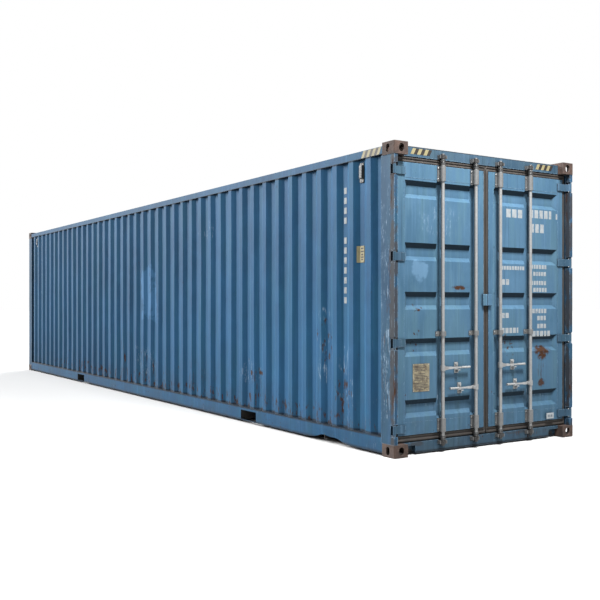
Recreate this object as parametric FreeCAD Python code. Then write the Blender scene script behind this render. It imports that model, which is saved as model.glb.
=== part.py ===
import FreeCAD, Part

import os

# Forty-foot high-cube dry freight container: a welded frame with two hinged door leaves.
#
# Millimetres. X runs along the length with the doors at +X, Y across the width, Z up.
# The origin is on the ground, in the middle of the base. Left is -Y.
# Depth is a distance in from the door-end face of the corner castings and inset a distance in
# from their side face, so one set of numbers serves the left and right sides and both ends.

# ---------------------------------------------------------------- driving dimensions
LENGTH, WIDTH, HEIGHT = 12192.0, 2438.0, 2896.0     # outside of the corner castings
HALF_L, HALF_W = LENGTH / 2, WIDTH / 2

CASTING = (178.0, 162.0, 118.0)                     # along, across, up
CASTING_WALL, CASTING_PLATE = 16.0, 28.0            # upright walls, and the plate with the lock slot
LOCK_SLOT = (124.0, 63.5)                           # along, across
LOCK_SLOT_AT = (103.5, 89.5)                        # depth, inset of its centre
SIDE_HOLE, END_HOLE = (51.0, 79.5), (63.5, 79.5)    # wide, high
SIDE_HOLE_DEPTH, END_HOLE_INSET = 95.0, 87.0
CASTING_TOP_Z = CASTING[2]                          # top of the bottom castings
CASTING_BOTTOM_Z = HEIGHT - CASTING[2]              # underside of the top castings

SKIN_INSET = 5.0                                    # posts and rails stand this far inside the castings
POST_ALONG, POST_WALL = 200.0, 6.0                  # length of a post's side face
HINGE_STRIP = (6.0, 60.0, 5.0, 46.0)                # depth from, to, inset from, to
POST_NARROW, POST_WIDE = 48.0, 110.0                # inset of the post beside and behind the door
FRONT_POST_INSET = 103.0
DOOR_FACE, DOOR_BACK = 66.0, 116.0                  # depth of the leaf's outer and inner face
JAMB = 122.0                                        # depth of the stop behind the leaf
BEAM_FACE = 68.0                                    # depth of the header's and sill's face
BEAM_BACK = JAMB + 6.0

RAIL_BOTTOM_Z, RAIL_TOP_Z = 22.0, 180.0             # bottom side rail
RAIL_SHEET = 4.5
RAIL_TOP_FLANGE, RAIL_BOTTOM_FLANGE = 48.0, 30.0
TOP_RAIL_Z = (2794.0, 2866.0)
TOP_RAIL_DEEP, TUBE_WALL = 60.0, 4.0
HEADER_Z = (2778.0, 2872.0)
HEADER_LIP_Z = 2704.0
SILL_Z = (14.0, 118.0)
SILL_NOTCH = (146.0, 88.0, 42.0)                    # long, high, deep, beside each bottom casting

WALL_SHEET = 2.0
CREST_INSET, WALL_DEEP = 7.0, 36.0                  # outer face of a side rib, and depth of the trough
PITCH, CREST, SLOPE = 278.0, 72.0, 68.0
CRESTS = 42
END_PITCH, END_CREST, END_SLOPE, END_DEEP = 250.0, 110.0, 18.0, 45.0
END_CRESTS = 8
ROOF_Z = (2866.0, 2888.0)
ROOF_PITCH, ROOF_CREST, ROOF_SLOPE = 209.0, 91.0, 13.5

FLOOR_Z = (150.0, 178.0)
MEMBER_Z = 30.0
MEMBER_PITCH, MEMBER_WIDE, MEMBER_SHEET = 300.0, 45.0, 4.0
POCKET_DEPTHS = (2710.0, 8800.0)                    # depth of the fork pockets' centres
POCKET = (360.0, 34.0, 144.0)                       # wide, lower and upper edge
TUNNEL = (3150.0, 1029.0, 120.0)                    # long, wide, high
TUNNEL_SHEET, TUNNEL_FLANGE = 4.0, 40.0

HINGE_AXIS = (22.0, 20.0)                           # depth, inset
HINGE_HEIGHTS = (250.0, 1045.0, 1843.0, 2640.0)
KNUCKLE_R, HINGE_PIN_R, KNUCKLE_HALF, BLADE_HALF = 14.0, 8.0, 42.0, 37.0
PIN_PLAY = 0.4
HINGE_NOTCH_HALF, LUG_THICK, LUG_R = 58.0, 14.0, 13.0
BLADE_THICK, BLADE_INSET = 12.0, 178.0              # where the blade ends

LEAF_Y = (-1124.0, -34.0)                           # left leaf, hinge edge to free edge
LEAF_Z = (188.0, 2720.0)
STILE_HINGE, STILE_FREE, LEAF_TOP, LEAF_BOTTOM = 76.0, 66.0, 140.0, 120.0
PANEL_DEPTH, PANEL_SHEET, GROOVE_DEEP = 67.5, 3.0, 34.0
GROOVE_CENTRES = (431.0, 999.0, 1436.0, 1894.0, 2474.0)
GROOVE_HALF, GROOVE_TOP_RUN, GROOVE_BOTTOM_RUN, GROOVE_END_RUN, GROOVE_MARGIN = 83.0, 46.0, 40.0, 45.0, 8.0
CHANNEL_HALF, CHANNEL_RUN, CHANNEL_MARGIN = 50.0, 22.0, 14.0
GASKET_Y, GASKET_Z, GASKET_DEPTH = (-1165.0, -4.0), (124.0, 2772.0), (70.0, 104.0)
CENTRE_LUG = (4.0, 60.0, 40.0, 1388.0, 1502.0)      # y from, to, depth from, z from, to
DATA_PLATE = (-843.0, 715.0, 204.0, 261.0, 2.5)     # centre y, centre z, wide, high, thick

BAR_Y = {"1": -600.0, "2": -168.0, "3": 168.0, "4": 600.0}
HANDLE_SIDE = {"1": 1, "2": -1, "3": 1, "4": -1}    # which way along Y the handle points
HANDLE_Z = {"1": 795.0, "2": 597.0, "3": 795.0, "4": 597.0}
BAR_DEPTH, BAR_R, BAR_BORE_R = 34.0, 17.0, 13.5
BAR_Z = (66.0, 2824.0)
CAM_R, CAM_HALF, CAM_LOBE, CAM_LOBE_HALF = 24.0, 20.0, 34.0, 11.0
CAM_HEIGHTS = (94.0, 2802.0)
KEEPER_EARS = (29.5, 40.0, 8.0)                     # near ear, ear on the lobe's side, ear thickness
HUB_R, HUB_HALF = 24.0, 26.0
SLEEVE_R, SLEEVE_PLAY = 28.0, 0.5
SLEEVES = ((194.0, 320.0), (1100.0, 1145.0), (2570.0, 2715.0))
FOOT_HALF, BRIDGE_HALF = 44.0, 66.0                 # foot plates on the frame, and over a channel
HANDLE_PIVOT, HANDLE_REACH = 44.0, 345.0
HANDLE_DEPTH = (23.0, 35.0)
HANDLE_PIN_R, HANDLE_EYE_R, GRIP_R = 6.0, 14.0, 11.0
CATCH_REACH = 195.0

VENT = (62.0, 14.0, 2572.0, 2762.0)                 # along, outer inset, z from, to


# ---------------------------------------------------------------- making shapes
def box(x0, x1, y0, y1, z0, z1):
    return Part.makeBox(x1 - x0, y1 - y0, z1 - z0, FreeCAD.Vector(x0, y0, z0))


def end_box(depth0, depth1, y0, y1, z0, z1):
    """A box at the door end, placed by depths."""
    return box(HALF_L - depth1, HALF_L - depth0, y0, y1, z0, z1)


def corner_box(depth0, depth1, inset0, inset1, z0, z1):
    """A box at the left of the door end, placed by depths and insets."""
    return end_box(depth0, depth1, inset0 - HALF_W, inset1 - HALF_W, z0, z1)


def prism(points, direction):
    """A closed outline of 3-D points, swept along a vector."""
    outline = Part.makePolygon([FreeCAD.Vector(*p) for p in points + points[:1]])
    return Part.Face(outline).extrude(FreeCAD.Vector(*direction))


def column(outline, z0, z1):
    """An upright section whose outline is given as (depth, inset) points."""
    return prism([(HALF_L - d, i - HALF_W, z0) for d, i in outline], (0, 0, z1 - z0))


def rod(radius, start, end):
    start, end = FreeCAD.Vector(*start), FreeCAD.Vector(*end)
    return Part.makeCylinder(radius, (end - start).Length, start, end - start)


def fuse(shapes):
    shapes = list(shapes)
    return shapes[0].multiFuse(shapes[1:]).removeSplitter() if len(shapes) > 1 else shapes[0]


def mirrored(shape):
    """The same piece on the other side of the container's centre plane."""
    return shape.mirror(FreeCAD.Vector(0, 0, 0), FreeCAD.Vector(0, 1, 0))


def turned_to_front(shape):
    """A piece made at the door end, turned half round to stand at the front end."""
    copy = shape.copy()
    copy.rotate(FreeCAD.Vector(0, 0, 0), FreeCAD.Vector(0, 0, 1), 180)
    return copy


def four_corners(left_rear):
    """The same piece at all four corners."""
    rear = [left_rear, mirrored(left_rear)]
    return rear + [turned_to_front(s) for s in rear]


def room_for_top_castings():
    """The space of the four top castings, which the sheets around them are cut away from."""
    long, wide, _ = CASTING
    return fuse(four_corners(corner_box(-1, long + 1, -1, wide + 1, CASTING_BOTTOM_Z - 1, HEIGHT + 1)))


def tube(outer, wall):
    """A hollow bar from a box given as (x0, x1, y0, y1, z0, z1), open along its longest side."""
    sizes = [outer[1] - outer[0], outer[3] - outer[2], outer[5] - outer[4]]
    run = sizes.index(max(sizes))
    inner = list(outer)
    for axis in range(3):
        step = -1.0 if axis == run else wall
        inner[2 * axis] += step
        inner[2 * axis + 1] -= step
    return box(*outer).cut(box(*inner))


def oblong(centre, narrow, long, half_deep, through):
    """An oblong cutter; narrow and long are vectors as wide as the hole, through is a unit vector."""
    centre, narrow, long, through = [FreeCAD.Vector(*v) for v in (centre, narrow, long, through)]
    radius = narrow.Length / 2
    start = centre - through * half_deep
    shift = long * (0.5 - radius / long.Length)
    half = narrow * 0.5
    rods = [Part.makeCylinder(radius, 2 * half_deep, start + shift * s, through) for s in (1, -1)]
    corners = [start + shift * a + half * b for a, b in ((1, 1), (1, -1), (-1, -1), (-1, 1))]
    return fuse(rods + [prism([tuple(c) for c in corners], tuple(through * (2 * half_deep)))])


# ---------------------------------------------------------------- corner castings
def casting(bottom):
    """The left casting of the door end; its lock slot opens down or up."""
    long, wide, high = CASTING
    z0 = 0.0 if bottom else CASTING_BOTTOM_Z
    body = corner_box(0, long, 0, wide, z0, z0 + high)
    outer_edge = [e for e in body.Edges if e.CenterOfMass.x > HALF_L - 1 and e.CenterOfMass.y < 1 - HALF_W]
    body = body.makeFillet(12.0, outer_edge)
    plate, cap = CASTING_PLATE, 12.0
    cavity_z = (z0 + plate, z0 + high - cap) if bottom else (z0 + cap, z0 + high - plate)
    cavity = corner_box(CASTING_WALL, long - 12, CASTING_WALL, wide - 12, *cavity_z)
    middle_z = z0 + high / 2
    lock = oblong((HALF_L - LOCK_SLOT_AT[0], LOCK_SLOT_AT[1] - HALF_W, z0 if bottom else z0 + high),
                  (0, LOCK_SLOT[1], 0), (LOCK_SLOT[0], 0, 0), plate + 4, (0, 0, 1))
    side = oblong((HALF_L - SIDE_HOLE_DEPTH, -HALF_W, middle_z),
                  (SIDE_HOLE[0], 0, 0), (0, 0, SIDE_HOLE[1]), 30, (0, 1, 0))
    end = oblong((HALF_L, END_HOLE_INSET - HALF_W, middle_z), (0, END_HOLE[0], 0), (0, 0, END_HOLE[1]), 30, (1, 0, 0))
    return body.cut(fuse([cavity, lock, side, end]))


# ---------------------------------------------------------------- frame
def hinge_point(z):
    return (HALF_L - HINGE_AXIS[0], HINGE_AXIS[1] - HALF_W, z)


def hinge_pin(z, radius):
    return rod(radius, hinge_point(z - HINGE_NOTCH_HALF - 3), hinge_point(z + HINGE_NOTCH_HALF + 3))


def rear_post():
    """Left post of the door end: a folded hollow section, a hinge strip, and two lugs for each hinge."""
    z0, z1 = CASTING_TOP_Z, CASTING_BOTTOM_Z
    strip_back, w = HINGE_STRIP[1], POST_WALL
    outer = [(strip_back, SKIN_INSET), (strip_back, POST_NARROW), (JAMB, POST_NARROW),
             (JAMB, POST_WIDE), (POST_ALONG, POST_WIDE), (POST_ALONG, SKIN_INSET)]
    inner = [(strip_back + w, SKIN_INSET + w), (strip_back + w, POST_NARROW - w), (JAMB + w, POST_NARROW - w),
             (JAMB + w, POST_WIDE - w), (POST_ALONG - w, POST_WIDE - w), (POST_ALONG - w, SKIN_INSET + w)]
    section = column(outer, z0, z1).cut(column(inner, z0 - 1, z1 + 1))
    notches = [corner_box(0, strip_back, 0, HINGE_STRIP[3] + 1, z - HINGE_NOTCH_HALF, z + HINGE_NOTCH_HALF)
               for z in HINGE_HEIGHTS]
    strip = corner_box(*HINGE_STRIP, z0, z1).cut(fuse(notches))
    lugs = []
    for z in HINGE_HEIGHTS:
        for low in (z - HINGE_NOTCH_HALF, z + HINGE_NOTCH_HALF - LUG_THICK):
            high = low + LUG_THICK
            lugs.append(corner_box(HINGE_AXIS[0], strip_back, HINGE_AXIS[1] - LUG_R, HINGE_AXIS[1] + LUG_R, low, high))
            lugs.append(rod(LUG_R, hinge_point(low), hinge_point(high)))
    return fuse([section, strip] + lugs).cut(fuse([hinge_pin(z, HINGE_PIN_R) for z in HINGE_HEIGHTS]))


def front_post():
    """A square tube; made at the left of the door end, so it stands at the front right once turned."""
    outer = (HALF_L - POST_ALONG, HALF_L - 8, SKIN_INSET - HALF_W, FRONT_POST_INSET - HALF_W,
             CASTING_TOP_Z, CASTING_BOTTOM_Z)
    return turned_to_front(tube(outer, POST_WALL))


def bottom_side_rail():
    """Left rail: a channel with its back outwards, cut for the two fork pockets."""
    x = HALF_L - CASTING[0]
    i, t = SKIN_INSET, RAIL_SHEET
    section = [(i, RAIL_BOTTOM_Z), (i + RAIL_BOTTOM_FLANGE, RAIL_BOTTOM_Z), (i + RAIL_BOTTOM_FLANGE, RAIL_BOTTOM_Z + t),
               (i + t, RAIL_BOTTOM_Z + t), (i + t, RAIL_TOP_Z - t), (i + RAIL_TOP_FLANGE, RAIL_TOP_Z - t),
               (i + RAIL_TOP_FLANGE, RAIL_TOP_Z), (i, RAIL_TOP_Z)]
    rail = prism([(-x, u - HALF_W, z) for u, z in section], (2 * x, 0, 0))
    # Under each post the rail is cut down to the height of the casting it meets.
    under_post = corner_box(CASTING[0] - 1, POST_ALONG, 0, 80, CASTING_TOP_Z, RAIL_TOP_Z + 1)
    under_posts = [under_post, turned_to_front(mirrored(under_post))]
    holes = [corner_box(at - POCKET[0] / 2, at + POCKET[0] / 2, 0, i + t + 1, POCKET[1], POCKET[2])
             for at in POCKET_DEPTHS]
    return rail.cut(fuse(under_posts + holes))


def top_side_rail():
    x = HALF_L - CASTING[0]
    return tube((-x, x, SKIN_INSET - HALF_W, SKIN_INSET + TOP_RAIL_DEEP - HALF_W, *TOP_RAIL_Z), TUBE_WALL)


def beam(depth0, depth1, z0, z1, wall):
    """A hollow beam between the castings of the door end."""
    y = HALF_W - CASTING[1]
    return tube((HALF_L - depth1, HALF_L - depth0, -y, y, z0, z1), wall)


def door_header():
    """Beam over the doors, with the lip that the leaves shut against."""
    y = HALF_W - POST_WIDE
    lip = end_box(JAMB, BEAM_BACK, -y, y, HEADER_LIP_Z, HEADER_Z[0])
    return fuse([beam(BEAM_FACE, BEAM_BACK, *HEADER_Z, 5.0), lip])


def door_sill():
    """Beam under the doors, notched beside the castings, with the upstand that ends the floor."""
    y, y_up = HALF_W - CASTING[1], HALF_W - POST_WIDE
    long, high, deep = SILL_NOTCH
    upstand = end_box(JAMB, BEAM_BACK, -y_up, y_up, SILL_Z[1], FLOOR_Z[1])
    notch = end_box(BEAM_FACE - 1, BEAM_FACE + deep, -y - 1, -y + long, SILL_Z[0] - 1, high)
    lining = end_box(BEAM_FACE, BEAM_FACE + deep + 5, -y, -y + long + 5, SILL_Z[0], high + 5).cut(notch)
    body = beam(BEAM_FACE, BEAM_BACK, *SILL_Z, 6.0).cut(fuse([notch, mirrored(notch)]))
    return fuse([body, lining, mirrored(lining), upstand])


def front_bottom_rail():
    """Beam at the front end, cut through for the gooseneck tunnel."""
    half = TUNNEL[1] / 2 + TUNNEL_SHEET
    gap = end_box(0, 80, -half, half, 0, TUNNEL[2] + TUNNEL_SHEET)
    return turned_to_front(beam(8, 68, SILL_Z[0], RAIL_TOP_Z, 6.0).cut(gap))


# ---------------------------------------------------------------- skins
def pressed_run(start, stop, first, pitch, crest, slope, count, raised, low):
    """Points (along, across) of a pressed sheet that lies low and is raised at each rib."""
    points = [(start, low)]
    for k in range(count):
        middle = first + k * pitch
        points += [(middle - crest / 2 - slope, low), (middle - crest / 2, raised),
                   (middle + crest / 2, raised), (middle + crest / 2 + slope, low)]
    return points + [(stop, low)]


def side_wall():
    """Left wall: a pressed sheet standing on the bottom rail's flange."""
    reach = HALF_L - POST_ALONG
    run = pressed_run(-reach, reach, -(CRESTS - 1) * PITCH / 2, PITCH, CREST, SLOPE, CRESTS,
                      CREST_INSET - HALF_W, CREST_INSET + WALL_DEEP - HALF_W)
    outline = [(x, y, RAIL_TOP_Z) for x, y in run] + [(x, y + WALL_SHEET, RAIL_TOP_Z) for x, y in reversed(run)]
    return prism(outline, (0, 0, TOP_RAIL_Z[0] - RAIL_TOP_Z))


def front_wall():
    reach = HALF_W - FRONT_POST_INSET
    run = pressed_run(-reach, reach, -(END_CRESTS - 1) * END_PITCH / 2, END_PITCH, END_CREST, END_SLOPE,
                      END_CRESTS, 14.0 - HALF_L, 14.0 + END_DEEP - HALF_L)
    outline = [(x, y, RAIL_TOP_Z) for y, x in run] + [(x + WALL_SHEET, y, RAIL_TOP_Z) for y, x in reversed(run)]
    return prism(outline, (0, 0, TOP_RAIL_Z[0] - RAIL_TOP_Z)).cut(room_for_top_castings())


def roof():
    """Cross ribs pressed in a flat sheet, closed at both ends, inside a flat margin on the rails."""
    start, stop = 68.0 - HALF_L, HALF_L - BEAM_BACK
    count = int((stop - start - ROOF_CREST - 2 * ROOF_SLOPE) // ROOF_PITCH)
    first = (start + stop) / 2 - (count - 1) * ROOF_PITCH / 2
    top = pressed_run(start, stop, first, ROOF_PITCH, ROOF_CREST, ROOF_SLOPE, count,
                      ROOF_Z[1], ROOF_Z[0] + WALL_SHEET)
    rib_half, sheet_half = 1120.0, HALF_W - SKIN_INSET - 8.0
    outline = [(x, -rib_half, z) for x, z in top] + [(x, -rib_half, z - WALL_SHEET) for x, z in reversed(top)]
    sheet = prism(outline, (0, 2 * rib_half, 0))
    closed = [(x, -rib_half, z) for x, z in top] + [(stop, -rib_half, ROOF_Z[0]), (start, -rib_half, ROOF_Z[0])]
    cap = prism(closed, (0, WALL_SHEET, 0))
    x = HALF_L - CASTING[0]
    margin = box(-x, x, -sheet_half, -rib_half, ROOF_Z[0], ROOF_Z[0] + WALL_SHEET)
    return fuse([sheet, cap, mirrored(cap), margin, mirrored(margin)]).cut(room_for_top_castings())


# ---------------------------------------------------------------- base
def floor():
    """Plywood between the side rails, cut away round the four posts."""
    y = HALF_W - SKIN_INSET - RAIL_TOP_FLANGE - 3
    posts = four_corners(corner_box(0, POST_ALONG + 2, 0, POST_WIDE + 2, FLOOR_Z[0] - 1, FLOOR_Z[1] + 1))
    return box(70 - HALF_L, HALF_L - BEAM_BACK, -y, y, *FLOOR_Z).cut(fuse(posts))


def cross_member(y0, y1, x):
    """A channel on its side, open towards the doors."""
    z0, z1, t = MEMBER_Z, FLOOR_Z[0], MEMBER_SHEET
    far = x + MEMBER_WIDE
    section = [(x, z0), (far, z0), (far, z0 + t), (x + t, z0 + t), (x + t, z1 - t), (far, z1 - t), (far, z1), (x, z1)]
    return prism([(a, y0, b) for a, b in section], (0, y1 - y0, 0))


def cross_members():
    """Full-width members, and short ones each side of the tunnel; the fork pockets stay free."""
    reach = HALF_W - SKIN_INSET - RAIL_SHEET
    tunnel_edge = TUNNEL[1] / 2 + TUNNEL_SHEET + TUNNEL_FLANGE
    tunnel_start = TUNNEL[0] - HALF_L
    members = []
    count = int((LENGTH - 600) // MEMBER_PITCH) + 1
    for k in range(count):
        x = 260.0 - HALF_L + k * MEMBER_PITCH
        middle = x + MEMBER_WIDE / 2
        if any(abs(middle - (HALF_L - at)) < POCKET[0] / 2 + 40 for at in POCKET_DEPTHS):
            continue
        if x > tunnel_start + 10:
            members.append(cross_member(-reach, reach, x))
        elif x + MEMBER_WIDE < tunnel_start - 10:
            short = cross_member(-reach, -tunnel_edge, x)
            members += [short, mirrored(short)]
    return members


def fork_pockets():
    """Each pocket is a roof plate and two upright plates from rail to rail."""
    reach = HALF_W - SKIN_INSET - RAIL_SHEET
    pockets = []
    for at in POCKET_DEPTHS:
        x, half = HALF_L - at, POCKET[0] / 2
        shell = box(x - half - 6, x + half + 6, -reach, reach, MEMBER_Z, FLOOR_Z[0])
        pockets.append(shell.cut(box(x - half, x + half, -reach - 1, reach + 1, MEMBER_Z - 1, POCKET[2])))
    return pockets


def gooseneck_tunnel():
    """An upside-down tray with a flange along each side, open to the front."""
    long, wide, high = TUNNEL
    half, t = wide / 2, TUNNEL_SHEET
    x0, x1 = 8.0 - HALF_L, long - HALF_L
    shell = box(x0, x1, -half - t, half + t, MEMBER_Z, high + t)
    hollow = box(x0 - 1, x1 - t, -half, half, MEMBER_Z - 1, high)
    flange = box(68.0 - HALF_L, x1, -half - t - TUNNEL_FLANGE, -half - t, MEMBER_Z, MEMBER_Z + t)
    return fuse([shell.cut(hollow), flange, mirrored(flange)])


# ---------------------------------------------------------------- door leaves
def leaf_frame():
    """Left leaf's frame, with the lug half that stands beside the middle seam."""
    outer = end_box(DOOR_FACE, DOOR_BACK, *LEAF_Y, *LEAF_Z)
    window = end_box(0, DOOR_BACK + 1, LEAF_Y[0] + STILE_HINGE, LEAF_Y[1] - STILE_FREE,
                     LEAF_Z[0] + LEAF_BOTTOM, LEAF_Z[1] - LEAF_TOP)
    y0, y1, depth, z0, z1 = CENTRE_LUG
    lug = end_box(depth, DOOR_FACE, -y1, -y0, z0, z1)
    lug = lug.makeFillet(4.0, [e for e in lug.Edges if e.CenterOfMass.x > HALF_L - depth - 1])
    # The lug bridges the rubber beside the seam and is held on the stile.
    return fuse([outer.cut(window), lug])


def sunk(y0, y1, z0, z1, push, runs):
    """A hollow pressed in the panel's face; runs are the slopes at low y, high y, low z, high z."""
    def ring(depth, share):
        x = HALF_L - PANEL_DEPTH - push - depth
        a, b, c, d = [share * r for r in runs]
        corners = [(x, y0 + a, z0 + c), (x, y1 - b, z0 + c), (x, y1 - b, z1 - d), (x, y0 + a, z1 - d)]
        return Part.makePolygon([FreeCAD.Vector(*p) for p in corners + corners[:1]])

    return Part.makeLoft([ring(0, 0), ring(GROOVE_DEEP, 1)], True, True)


def leaf_panel():
    """Pressed sheet: five cross grooves, joined by an upright channel behind each locking bar."""
    y0, y1 = LEAF_Y[0] + STILE_HINGE, LEAF_Y[1] - STILE_FREE
    z0, z1 = LEAF_Z[0] + LEAF_BOTTOM, LEAF_Z[1] - LEAF_TOP

    def hollows(push):
        grooves = [sunk(y0 + GROOVE_MARGIN, y1 - GROOVE_MARGIN, z - GROOVE_HALF, z + GROOVE_HALF, push,
                        (GROOVE_END_RUN, GROOVE_END_RUN, GROOVE_BOTTOM_RUN, GROOVE_TOP_RUN)) for z in GROOVE_CENTRES]
        channels = [sunk(BAR_Y[b] - CHANNEL_HALF, BAR_Y[b] + CHANNEL_HALF, z0 + CHANNEL_MARGIN, z1 - CHANNEL_MARGIN,
                         push, (CHANNEL_RUN,) * 4) for b in "12"]
        return fuse(grooves + channels)

    sheet = end_box(PANEL_DEPTH, PANEL_DEPTH + PANEL_SHEET, y0, y1, z0, z1)
    return fuse([sheet, hollows(PANEL_SHEET)]).cut(hollows(0))


def leaf_gasket():
    """Rubber ring round the left leaf."""
    return end_box(*GASKET_DEPTH, *GASKET_Y, *GASKET_Z).cut(end_box(0, 200, *LEAF_Y, *LEAF_Z))


def hinge_blades():
    """Four cranked blades: knuckle, arm over the rubber, and the plate on the leaf's face."""
    d, i = HINGE_AXIS
    front, leaf_edge = DOOR_FACE - BLADE_THICK, LEAF_Y[0] + HALF_W
    outline = [(d - 12, i + 5), (d - 4, i + 16), (front, 62), (front, BLADE_INSET), (DOOR_FACE, BLADE_INSET),
               (DOOR_FACE, leaf_edge), (DOOR_FACE - 4, leaf_edge - 4), (DOOR_FACE - 4, 62), (d + 12, 36), (d + 10, i - 6)]
    blades = []
    for z in HINGE_HEIGHTS:
        arm = column(outline, z - BLADE_HALF, z + BLADE_HALF)
        knuckle = rod(KNUCKLE_R, hinge_point(z - KNUCKLE_HALF), hinge_point(z + KNUCKLE_HALF))
        blades.append(fuse([arm, knuckle]).cut(hinge_pin(z, HINGE_PIN_R + PIN_PLAY)))
    return blades


def bar_point(bar, z):
    return (HALF_L - BAR_DEPTH, BAR_Y[bar], z)


def bar_brackets(bars):
    """Bearing sleeves on foot plates: a long one at each end of a bar, a short guide between."""
    brackets = []
    for bar in bars:
        y = BAR_Y[bar]
        for z0, z1 in SLEEVES:
            half = FOOT_HALF if z1 - z0 > 100 else BRIDGE_HALF
            face = DOOR_FACE if z1 - z0 > 100 else PANEL_DEPTH
            foot = end_box(face - 7, face, y - half, y + half, z0, z1)
            saddle = end_box(BAR_DEPTH, face - 7, y - SLEEVE_R + 3, y + SLEEVE_R - 3, z0, z1)
            sleeve = rod(SLEEVE_R, bar_point(bar, z0), bar_point(bar, z1))
            bore = rod(BAR_R + SLEEVE_PLAY, bar_point(bar, z0 - 1), bar_point(bar, z1 + 1))
            brackets.append(fuse([foot, saddle, sleeve]).cut(bore))
    return brackets


def handle_catches(bars):
    """Rest for each handle: a back plate, the shelf under the handle, a stud above and a seal eye below."""
    back = PANEL_DEPTH - 8
    catches = []
    for bar in bars:
        y = BAR_Y[bar] + HANDLE_SIDE[bar] * CATCH_REACH
        z = HANDLE_Z[bar]
        plate = end_box(back, PANEL_DEPTH, y - 22, y + 22, z - 54, z + 50)
        shelf = end_box(16, back, y - 15, y + 15, z - 27, z - 19)
        stud = rod(12, (HALF_L - 46, y, z + 32), (HALF_L - back, y, z + 32))
        eye = end_box(34, back, y - 6, y + 6, z - 48, z - 27)
        eye = eye.cut(rod(6, (HALF_L - 44, y - 8, z - 38), (HALF_L - 44, y + 8, z - 38)))
        catches.append(fuse([plate, shelf, stud, eye]))
    return catches


def data_plate():
    y, z, wide, high, thick = DATA_PLATE
    return end_box(PANEL_DEPTH - thick, PANEL_DEPTH, y - wide / 2, y + wide / 2, z - high / 2, z + high / 2)


# ---------------------------------------------------------------- locking bars
def handle_point(bar, depth):
    return (HALF_L - depth, BAR_Y[bar] + HANDLE_SIDE[bar] * HANDLE_PIVOT, HANDLE_Z[bar])


def lock_bar(bar):
    """Tube with a lobed cam at each end and the clevis that carries the handle."""
    y, side, z = BAR_Y[bar], HANDLE_SIDE[bar], HANDLE_Z[bar]
    pieces = [rod(BAR_R, bar_point(bar, BAR_Z[0]), bar_point(bar, BAR_Z[1])),
              rod(HUB_R, bar_point(bar, z - HUB_HALF), bar_point(bar, z + HUB_HALF))]
    for at in CAM_HEIGHTS:
        pieces.append(rod(CAM_R, bar_point(bar, at - CAM_HALF), bar_point(bar, at + CAM_HALF)))
        lobe = sorted((y, y + side * CAM_LOBE))
        pieces.append(end_box(BAR_DEPTH - CAM_LOBE_HALF, BAR_DEPTH + CAM_LOBE_HALF - 4, *lobe, at - 14, at + 14))
    for d0, d1 in ((HANDLE_DEPTH[0] - 8, HANDLE_DEPTH[0] - 2), (HANDLE_DEPTH[1] + 2, HANDLE_DEPTH[1] + 8)):
        cheek = sorted((y + side * 8, y + side * HANDLE_PIVOT))
        pieces.append(end_box(d0, d1, *cheek, z - 16, z + 16))
        pieces.append(rod(16, handle_point(bar, d0), handle_point(bar, d1)))
    pieces.append(rod(HANDLE_PIN_R, handle_point(bar, HANDLE_DEPTH[0] - 11), handle_point(bar, HANDLE_DEPTH[1] + 11)))
    bore = rod(BAR_BORE_R, bar_point(bar, BAR_Z[0] + 40), bar_point(bar, BAR_Z[1] - 40))
    return fuse(pieces).cut(bore)


def handle(bar):
    """Flat forged lever on the clevis pin, ending in a round grip."""
    y, side, z = BAR_Y[bar], HANDLE_SIDE[bar], HANDLE_Z[bar]
    d0, d1 = HANDLE_DEPTH
    near, far = HANDLE_PIVOT + 60, HANDLE_PIVOT + 90
    blade = [(HANDLE_PIVOT, -12), (near, -12), (far, -8), (250, -8), (250, 8), (far, 8), (near, 12), (HANDLE_PIVOT, 12)]
    flat = prism([(HALF_L - d1, y + side * a, z + b) for a, b in blade], (d1 - d0, 0, 0))
    eye = rod(HANDLE_EYE_R, handle_point(bar, d0), handle_point(bar, d1))
    middle = HALF_L - (d0 + d1) / 2
    grip = rod(GRIP_R, (middle, y + side * 236, z), (middle, y + side * HANDLE_REACH, z))
    hole = rod(HANDLE_PIN_R + PIN_PLAY, handle_point(bar, d0 - 1), handle_point(bar, d1 + 1))
    return fuse([eye, flat, grip]).cut(hole)


def cam_keepers():
    """A plate with two ears for each cam, on the header and on the sill, open in front."""
    near, lobe_side, thick = KEEPER_EARS
    keepers = []
    for bar, y in BAR_Y.items():
        side = HANDLE_SIDE[bar]
        for at in CAM_HEIGHTS:
            plate_y = sorted((y - side * (near + thick), y + side * (lobe_side + thick)))
            plate = end_box(BEAM_FACE - 4, BEAM_FACE, *plate_y, at - 20, at + 20)
            ears = [end_box(26, BEAM_FACE - 4, *sorted((y + a, y + b)), at - 16, at + 16)
                    for a, b in ((-side * near, -side * (near + thick)), (side * lobe_side, side * (lobe_side + thick)))]
            keepers.append(fuse([plate] + ears))
    return keepers


def ventilators():
    """Four hooded vents, each in the trough inside the end rib of a side wall."""
    along, inset, z0, z1 = VENT
    x = (CRESTS - 1) * PITCH / 2 - PITCH / 2
    hood = box(x - along / 2, x + along / 2, inset - HALF_W, CREST_INSET + WALL_DEEP - HALF_W, z0, z1)
    hood = hood.makeFillet(8.0, [e for e in hood.Edges if e.CenterOfMass.y < inset + 1 - HALF_W])
    return four_corners(hood)


# ---------------------------------------------------------------- export
def export(name, shapes):
    shapes = shapes if isinstance(shapes, list) else [shapes]
    solids = [s for shape in shapes for s in shape.Solids]
    shape = solids[0] if len(solids) == 1 else Part.makeCompound(solids)
    if not all(s.isValid() for s in solids):
        raise RuntimeError(f"{name} is not a valid solid")
    shape.exportStep(f"parts/{name}.step")
    print(f"{name:28s} {len(solids):3d} solids {sum(s.Volume for s in solids) / 1e9:9.5f} m3")


def export_pair(left_name, left):
    """A left piece, and its mirror image under the same name with right for left."""
    left = left if isinstance(left, list) else [left]
    export(left_name, left)
    export(left_name.replace("left", "right"), [mirrored(s) for s in left])


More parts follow.
